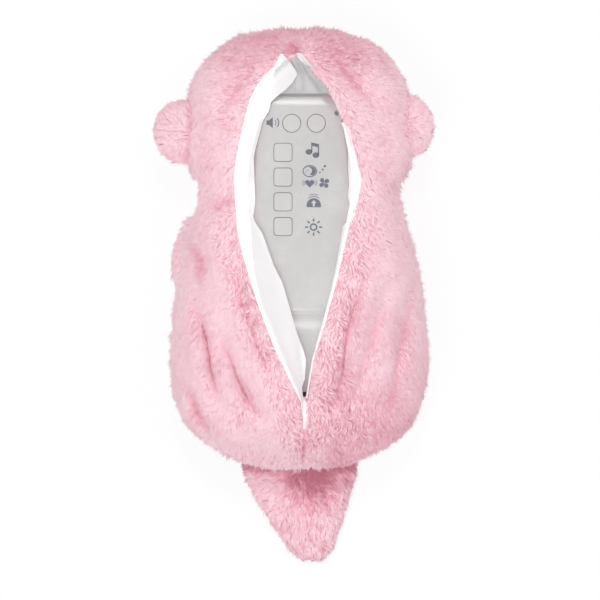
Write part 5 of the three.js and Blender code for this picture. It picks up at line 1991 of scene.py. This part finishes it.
@dataclass
class WallStrip(SlitCloth):
    """A closure strip that stands on a wall of the slit, seen nearly from its edge."""

    low: float = 0.6
    high: float = 0.95
    tuck: float = 0.3

    def grid(self, y: Points) -> Points:
        """The places of the strip between two shares of the wall, closer to it at its lower end.

        Args:
            y: The rows' places along the toy.

        Returns:
            The places, row by row.
        """
        fold, edge, inward = self.wall(y)
        off = self.lift * (1 - self.tuck * ease(-y, 8.0, 24.0))
        rows = []
        for step in np.linspace(0, 1, self.across + 1):
            share = self.low + (self.high - self.low) * step + self.teeth(y) * (1 - step)
            rows.append(fold + (edge - fold) * share[:, None] + inward * off[:, None])
        return np.stack(rows, axis=1)


@dataclass
class LeftLining(EdgedCloth):
    """The left lining, with a pouch at its top and a folded end at its tail."""

    pouch: float = 3.4
    fold: float = 16.0

    def drape(self, grid: Points, y: Points) -> None:
        """Swells the pouch and lifts the folded end between the pile.

        Args:
            grid: The places of the cloth.
            y: The rows' places along the toy.
        """
        across = bell(grid[:, :, 0] + 4.0, 9.0)
        grid[:, :, 2] += self.pouch * across * bell(y - 135.0, 11.0)[:, None]
        grid[:, :, 2] += self.fold * ease(-y, 48.0, 70.0)[:, None]
        self.keep_low(grid, 2.4)


@dataclass
class RightLining(EdgedCloth):
    """The right lining: a small flap at its top, an open part, and the rest flat on the slit's wall."""

    hem: float = 0.75
    off: float = 1.0
    groove: float = 2.2
    flap: float = 2.5

    def drape(self, grid: Points, y: Points) -> None:
        """Lifts the flap, bends the open part and lays the rest on the wall.

        Args:
            grid: The places of the cloth.
            y: The rows' places along the toy.
        """
        fold, edge, inward = self.wall(y)
        across = np.linspace(0.0, 1.0, self.across + 1)[None, :]
        hem = self.hem - 0.6 * ease(y, 88.0, 104.0)
        share = (hem[:, None] * (1 - across))[:, :, None]
        off = self.off * (1 - 2.4 * ease(y, 98.0, 106.0))
        wall = fold[:, None] + (edge - fold)[:, None] * share + (inward * off[:, None])[:, None]
        flat = ease(y, 104.0, 111.0) * (1 - ease(y, 133.0, 137.0)) + ease(-y, -48.0, -42.0)
        grid += (wall - grid) * flat[:, None, None]
        bend = 0.45 + 0.1 * np.sin(y / 9.0)[:, None]
        deep = self.groove * (1 - flat) * (1 - ease(y, 98.0, 106.0))
        grid[:, :, 2] -= bell(across - bend, 0.14) * deep[:, None]
        grid[:, :, 2] += self.flap * ease(y, 136.0, 141.0)[:, None]
        self.keep_low(grid, 1.6)


@dataclass
class TopLining(SlitCloth):
    """The lining over the slit's floor past the module, drawn into raised and sunk folds by turns."""

    raised: float = 1.3
    sunk: float = 0.9
    fold_width: float = 1.5
    folds: tuple[tuple[Place, ...], ...] = (
        ((306, 56), (307, 74), (306, 92)), ((297, 66), (300, 80), (301, 92)),
        ((313, 70), (316, 82), (322, 92)), ((293, 58), (296, 72), (297, 90)),
    )

    def grid(self, y: Points) -> Points:
        """The places of the cloth from the left wall to the right one.

        Args:
            y: The rows' places along the toy.

        Returns:
            The places, row by row.
        """
        way = np.clip(self.slit.way(y), 0, 1)
        left, _ = self.slit.wall(Side.LEFT, way)
        fold, edge = self.slit.wall(Side.RIGHT, way)
        share = np.linspace(0, 1, self.across + 1)[None, :]
        x = left[:, [0]] - 0.6 + (edge[:, [0]] - left[:, [0]] + 1.0) * share
        climb = (x + 1.9 - fold[:, [0]]) / (edge[:, [0]] - fold[:, [0]])
        z = left[:, [2]] + self.lift + np.clip(climb, 0, 1) * (edge[:, [2]] - fold[:, [2]])
        grid = np.stack([x, np.broadcast_to(y[:, None], x.shape), z], axis=2)
        flat = grid.reshape(-1, 3)[:, :2]
        lift = 0.25 * waves(flat, 7.0, self.seed)
        for number, line in enumerate(self.folds):
            gap, _ = line_distance(flat, from_picture(line))
            lift = lift + (self.raised if number % 2 else -self.sunk) * bell(gap, self.fold_width)
        grid[:, :, 2] += np.maximum(lift, -0.5).reshape(x.shape)
        self.keep_low(grid, -3.0)
        return grid


@dataclass
class LiningPocket:
    """The cloth pocket round the module, its soft walls a little uneven."""

    node: Object
    flat: tuple[float, float] = (0.148, 0.279)
    area: float = 0.0325
    longest: float = 7.0
    sway: float = 0.13

    def build(self, material: Material) -> None:
        """Builds the pocket.

        Args:
            material: Its finish.
        """
        shape = shape_of([self.node])
        bmesh.ops.triangulate(shape, faces=shape.faces)
        for _ in range(4):
            long = [edge for edge in shape.edges if edge.calc_length() > self.longest * MM]
            if not long:
                break
            bmesh.ops.subdivide_edges(shape, edges=long, cuts=1, use_grid_fill=True)
            bmesh.ops.triangulate(shape, faces=shape.faces)
        points = np.array([vertex.co for vertex in shape.verts]) / MM
        for vertex, out in zip(shape.verts, self.sway * waves(points, 14.0, seed=77)):
            vertex.co += Vector((vertex.normal.x, vertex.normal.y, 0.0)) * out * MM
        made = from_bmesh("lining_pocket_cloth", shape, material, smooth=50.0)
        settle(made, node="lining_pocket")


def tube(shape: Shape, line: Points, radius: float, sides: int = 8) -> None:
    """Adds a closed round tube along a line.

    Args:
        shape: Where it is added.
        line: Places along it in millimetres.
        radius: Its radius.
        sides: Its sides.
    """
    rings = []
    way = unit(np.gradient(line, axis=0))
    for place, along in zip(line, way):
        first = unit(np.cross(along, [0.0, 0.0, 1.0])[None, :])[0]
        second = np.cross(along, first)
        angles = np.linspace(0, 2 * math.pi, sides, endpoint=False)
        ring = place + radius * (np.cos(angles)[:, None] * first + np.sin(angles)[:, None] * second)
        rings.append([shape.verts.new(point * MM) for point in ring])
    for first, second in zip(rings, rings[1:]):
        for number in range(sides):
            after = (number + 1) % sides
            shape.faces.new((first[number], first[after], second[after], second[number]))
    shape.faces.new(rings[0][::-1])
    shape.faces.new(rings[-1])


@dataclass
class StitchedEye:
    """A closed eye sewn on the face with two twisted threads."""

    side: Side
    place: float = 31.0
    row: float = 46.0
    reach: float = 8.0
    sag: float = 4.0
    thread: float = 0.62
    twist: float = 0.5
    turns: int = 7
    sunk: float = 1.3
    steps: int = 84
    form: CoverForm = field(default_factory=CoverForm)

    def build(self, material: Material) -> None:
        """Builds the two threads.

        Args:
            material: Their finish.
        """
        name = "eye_left" if self.side is Side.LEFT else "eye_right"
        share = np.linspace(-1, 1, self.steps + 1)
        x = self.form.centre + self.side.value * self.place + share * self.reach
        y = self.form.crown - self.row - (1 - share**2) * self.sag
        line = np.column_stack([x, y, self.form.face(x, y) - self.sunk])
        shape = bmesh.new()
        for phase in (0.0, math.pi):
            angle = share * math.pi * self.turns + phase
            wound = line + self.twist * np.column_stack([0 * x, np.cos(angle), np.sin(angle)])
            tube(shape, wound, self.thread)
        bmesh.ops.recalc_face_normals(shape, faces=shape.faces)
        settle(from_bmesh(f"{name}_thread", shape, material), node=name)


def build_nose(node: Object, material: Material) -> None:
    """Builds the stuffed nose.

    Args:
        node: The nose's node.
        material: Its finish.
    """
    made = link("nose_cover", Skin(voxel=0.7, grow=0.0, rounds=4).build("nose", [node]), material)
    settle(made, node="nose")


LINING_LEFT_EDGE = from_picture([
    (284, 56), (290, 63), (295, 70), (297.5, 75), (292, 84), (285, 91), (278, 96), (271, 102),
    (268.5, 112), (263, 121), (255.6, 149), (253.8, 158), (254.6, 180), (255.3, 202), (253.4, 217),
    (255, 222), (262.5, 234), (268, 249), (274, 266), (282.5, 283), (289, 305), (297, 333), (304, 352),
    (306, 360), (304.5, 379), (302, 387), (303, 396), (306.5, 403), (308, 412), (307.5, 422), (305, 430),
])
LINING_LEFT_RIM = from_picture([
    (281, 54), (276, 67), (265, 77), (257, 89), (251, 101), (243, 129), (237, 158), (235, 180), (236, 200),
    (238, 231), (244, 258), (251, 283), (259, 305), (268, 329), (278, 352), (288, 376), (296, 392),
    (301, 402), (302.5, 412), (303, 422), (302.8, 430),
])
LINING_RIGHT_EDGE = from_picture([
    (296.5, 52), (298, 58), (303, 64), (312, 68), (318, 76), (330, 88), (337, 99), (341, 106), (344.5, 117),
    (346, 123), (347.5, 135), (348, 150), (348, 170), (349, 185), (347.8, 197), (350, 206), (352, 214),
    (349.6, 230), (342.2, 257.5), (336.2, 287.5), (331.8, 305), (323.2, 330), (315.5, 355), (311, 376),
    (309, 392), (308.4, 400),
])
STRIP_LEFT_EDGE = from_picture([
    (283.5, 57), (279.5, 70), (277, 80), (268, 98), (261, 118), (254.5, 140), (250, 158), (248, 175),
    (247.5, 194), (250, 219), (252.5, 250), (255, 275), (262, 305), (271, 331), (280.5, 353), (291, 374),
    (295, 383),
])
STRIP_LEFT_RIM = from_picture([
    (281, 54), (275, 67), (264, 77), (256, 89), (250, 101), (242.5, 129), (237, 158), (235, 180),
    (236, 200), (239.5, 231), (245.5, 258), (250, 278), (257, 301),
    (266.5, 327), (276.5, 352), (287, 373), (293, 384),
])


def build_linings(finishes: Finishes, nodes: dict[str, Object]) -> None:
    """Builds the cloth in the slit and its closure strips.

    Args:
        finishes: The materials.
        nodes: The CAD nodes.
    """
    white, closing = finishes["lining"], finishes["closure"]
    LeftLining(
        "lining_left", Side.LEFT, 148.0, -83.0, along=190, inner=LINING_LEFT_EDGE, outer=LINING_LEFT_RIM,
        curl=1.0,
    ).build(white, "lining")
    RightLining(
        "lining_right", Side.RIGHT, 149.0, -64.0, along=170, inner=LINING_RIGHT_EDGE, wrinkle=0.5,
        rests_on=("body_back_right_cover", "head_back_right_cover"), seed=44,
    ).build(white, "lining")
    TopLining(
        "lining_top", Side.LEFT, 148.0, 124.3, lift=1.0, along=44, across=60, held="gathered", seed=48,
    ).build(finishes["net"], "lining")
    EdgedCloth(
        "strip_left", Side.LEFT, 148.5, -55.0, inner=STRIP_LEFT_EDGE, outer=STRIP_LEFT_RIM, lift=2.7,
        curl=0.2, swell=0.3, wrinkle=0.12, thickness=0.9, across=8, along=420, serration=0.1,
        rests_on=("lining_left_cloth",), seed=52,
    ).build(closing, "closure")
    WallStrip(
        "strip_right", Side.RIGHT, 106.0, -40.0, lift=1.6, thickness=0.9, across=6, along=340,
        serration=0.012, rests_on=("lining_right_cloth",),
    ).build(closing, "closure")
    LiningPocket(nodes["lining_pocket"]).build(white)


SOFT_SLOTS = {"plush", "lining", "closure", "stitching", "nose_fabric", "wire"}
CASE_END_DIP = Dip(line=125.04, below=11.0, above=0.0, depth=2.3)
DOOR_DIP = Dip(line=-12.76, below=12.0, above=5.0, depth=1.3)
UPPER_SCREWS = ((-17.6, 112.24), (26.6, 112.24))


def build_hard_parts(frame: dict, made: Finishes) -> None:
    """Builds every hard node with rounded edges.

    Args:
        frame: The loaded frame.
        made: The materials by slot.
    """
    for entry in frame["record"]["subparts"]:
        name, slot = entry["node"], entry["material_slot"]
        node = frame["nodes"][name]
        if slot in SOFT_SLOTS:
            continue
        if name == "control_housing":
            dips = (CASE_END_DIP, DOOR_DIP)
            part = DippedPart(name, node, radius=0.25, segments=3, dips=dips, mouths=UPPER_SCREWS)
        elif name == "battery_door":
            part = DippedPart(name, node, radius=0.2, segments=3, dips=(DOOR_DIP,), stretch=0.2)
        elif slot in ("button", "rubber", "case"):
            part = MouldedPart(name, node, radius=0.3, segments=3)
        else:
            part = MouldedPart(name, node)
        part.build(made[slot], slot)


@dataclass
class Studio:
    """The camera above the toy, the floor and the soft lights."""

    width: float = 372.0
    level: float = 43.0
    centre: Place = (3.62, -3.38)
    lens: float = 900.0

    def build(self) -> None:
        """Builds the camera, the floor, the lamps and the world."""
        bpy.context.scene.view_settings.view_transform = "Standard"
        self._camera()
        self._floor()
        self._lamp("key", 0.75, (-0.28, -0.34, 1.0), 28.0)
        self._lamp("fill", 0.3, (0.6, 0.25, 0.8), 50.0)
        self._lamp("shine", 0.55, (0.0, 0.42, 0.9), 11.0)
        self._world()

    def _camera(self) -> None:
        """Sets a far camera that looks straight down, its view as wide as asked at the level."""
        data = bpy.data.cameras.new("camera")
        data.lens = self.lens
        data.clip_end = 20.0
        camera = bpy.data.objects.new("camera", data)
        bpy.context.scene.collection.objects.link(camera)
        away = self.width * MM / 2 / (data.sensor_width / 2 / self.lens)
        camera.location = (self.centre[0] * MM, self.centre[1] * MM, self.level * MM + away)
        bpy.context.scene.camera = camera

    def _floor(self) -> None:
        """Lays a pale floor that shows nearly white and keeps the toy's soft shadow."""
        shape = bmesh.new()
        bmesh.ops.create_circle(shape, cap_ends=True, segments=96, radius=6.0)
        look = Look("floor")
        look.set(Base_Color=linear(240, 240, 240), Roughness=0.9)
        glow = look.node("ShaderNodeEmission", {}, {0: (1.0, 1.0, 1.0, 1.0), 1: 1.03})
        path = look.tree.nodes.new("ShaderNodeLightPath")
        seen, mirrored, through = (
            Value(look, path.outputs[f"Is {kind} Ray"]) for kind in ("Camera", "Glossy", "Transmission")
        )
        share = (seen + mirrored + through) * 0.86
        plain = Value(look, look.shader.outputs[0])
        look.put(look.output.inputs[0], look.node("ShaderNodeMixShader", {}, {0: share, 1: plain, 2: glow}))
        from_bmesh("floor", shape, look.material, smooth=None)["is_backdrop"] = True

    def _lamp(self, name: str, strength: float, place: tuple[float, float, float], spread: float) -> None:
        """Adds a far, soft lamp.

        Args:
            name: Its name.
            strength: Its strength.
            place: The way that it shines from.
            spread: How wide it looks, in degrees.
        """
        data = bpy.data.lights.new(name, "SUN")
        data.energy = strength
        data.angle = math.radians(spread)
        lamp = bpy.data.objects.new(name, data)
        lamp.rotation_euler = Vector(place).to_track_quat("Z", "Y").to_euler()
        bpy.context.scene.collection.objects.link(lamp)

    def _world(self) -> None:
        """Makes even light from all round, and white behind the toy."""
        world = bpy.data.worlds.new("world")
        world.use_nodes = True
        tree = world.node_tree
        tree.nodes.clear()
        path = tree.nodes.new("ShaderNodeLightPath")
        mixed = tree.nodes.new("ShaderNodeMixShader")
        tree.links.new(path.outputs["Is Camera Ray"], mixed.inputs[0])
        for socket, strength in ((1, 0.55), (2, 1.0)):
            background = tree.nodes.new("ShaderNodeBackground")
            background.inputs[0].default_value = (1.0, 1.0, 1.0, 1.0)
            background.inputs[1].default_value = strength
            tree.links.new(background.outputs[0], mixed.inputs[socket])
        output = tree.nodes.new("ShaderNodeOutputWorld")
        tree.links.new(mixed.outputs[0], output.inputs[0])
        bpy.context.scene.world = world


def dress(frame: dict, made: Finishes) -> None:
    """Gives every carried-over node the finish of its slot.

    Args:
        frame: The loaded frame.
        made: The materials by slot.
    """
    for entry in frame["record"]["subparts"]:
        node = frame["nodes"][entry["node"]]
        node.data.materials.clear()
        node.data.materials.append(made.get(entry["material_slot"], made["pile_backing"]))


def corners() -> list[list[float]]:
    """The shown object's lowest and highest corner as plain lists."""
    return [list(corner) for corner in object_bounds()]


def main() -> None:
    """Builds the toy round the frame, piece by piece."""
    logging.basicConfig(level=logging.INFO, format="%(message)s")
    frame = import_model()
    nodes = frame["nodes"]
    made = finishes()
    Studio().build()
    dress(frame, made)
    StuffedCover(made, nodes).build()
    limbs = [
        Limb("ear_left", nodes["ear_left"], seed=60, way=(-0.9, 0.1, 0.0), spread=0.9, shade=-0.06),
        Limb("ear_right", nodes["ear_right"], seed=64, way=(0.9, -0.1, 0.0), spread=0.9),
        Limb("arm_left", nodes["arm_left"], seed=68, way=(-0.5, -0.8, -0.3), density=2.2),
        Limb("arm_right", nodes["arm_right"], seed=72, way=(0.5, -0.8, -0.3), density=1.8),
        Limb("foot_left", nodes["foot_left"], seed=76, way=(-0.3, -0.9, -0.2), density=1.6),
        Limb("foot_right", nodes["foot_right"], seed=80, way=(0.3, -0.9, -0.2), density=1.6),
        Limb(
            "tail", nodes["tail"], "tail", seed=84, way=(0.0, -0.8, 0.0), spread=0.95, length=7.2,
            shade=-0.1, deepest=60.0, curl=0.45,
        ),
        Limb("muzzle", nodes["muzzle"], seed=88, way=(0.0, -0.4, 0.0), density=1.4, length=4.0),
        Limb("belly_patch", nodes["belly_patch"], "belly", seed=92, density=2.4, length=4.5, deepest=3.5),
    ]
    for limb in limbs:
        limb.build(made)
    build_nose(nodes["nose"], made["nose_fabric"])
    for side in Side:
        StitchedEye(side).build(made["stitching"])
    build_linings(made, nodes)
    build_hard_parts(frame, made)
    ControlSigns(made).build()


if __name__ == "__main__":
    main()
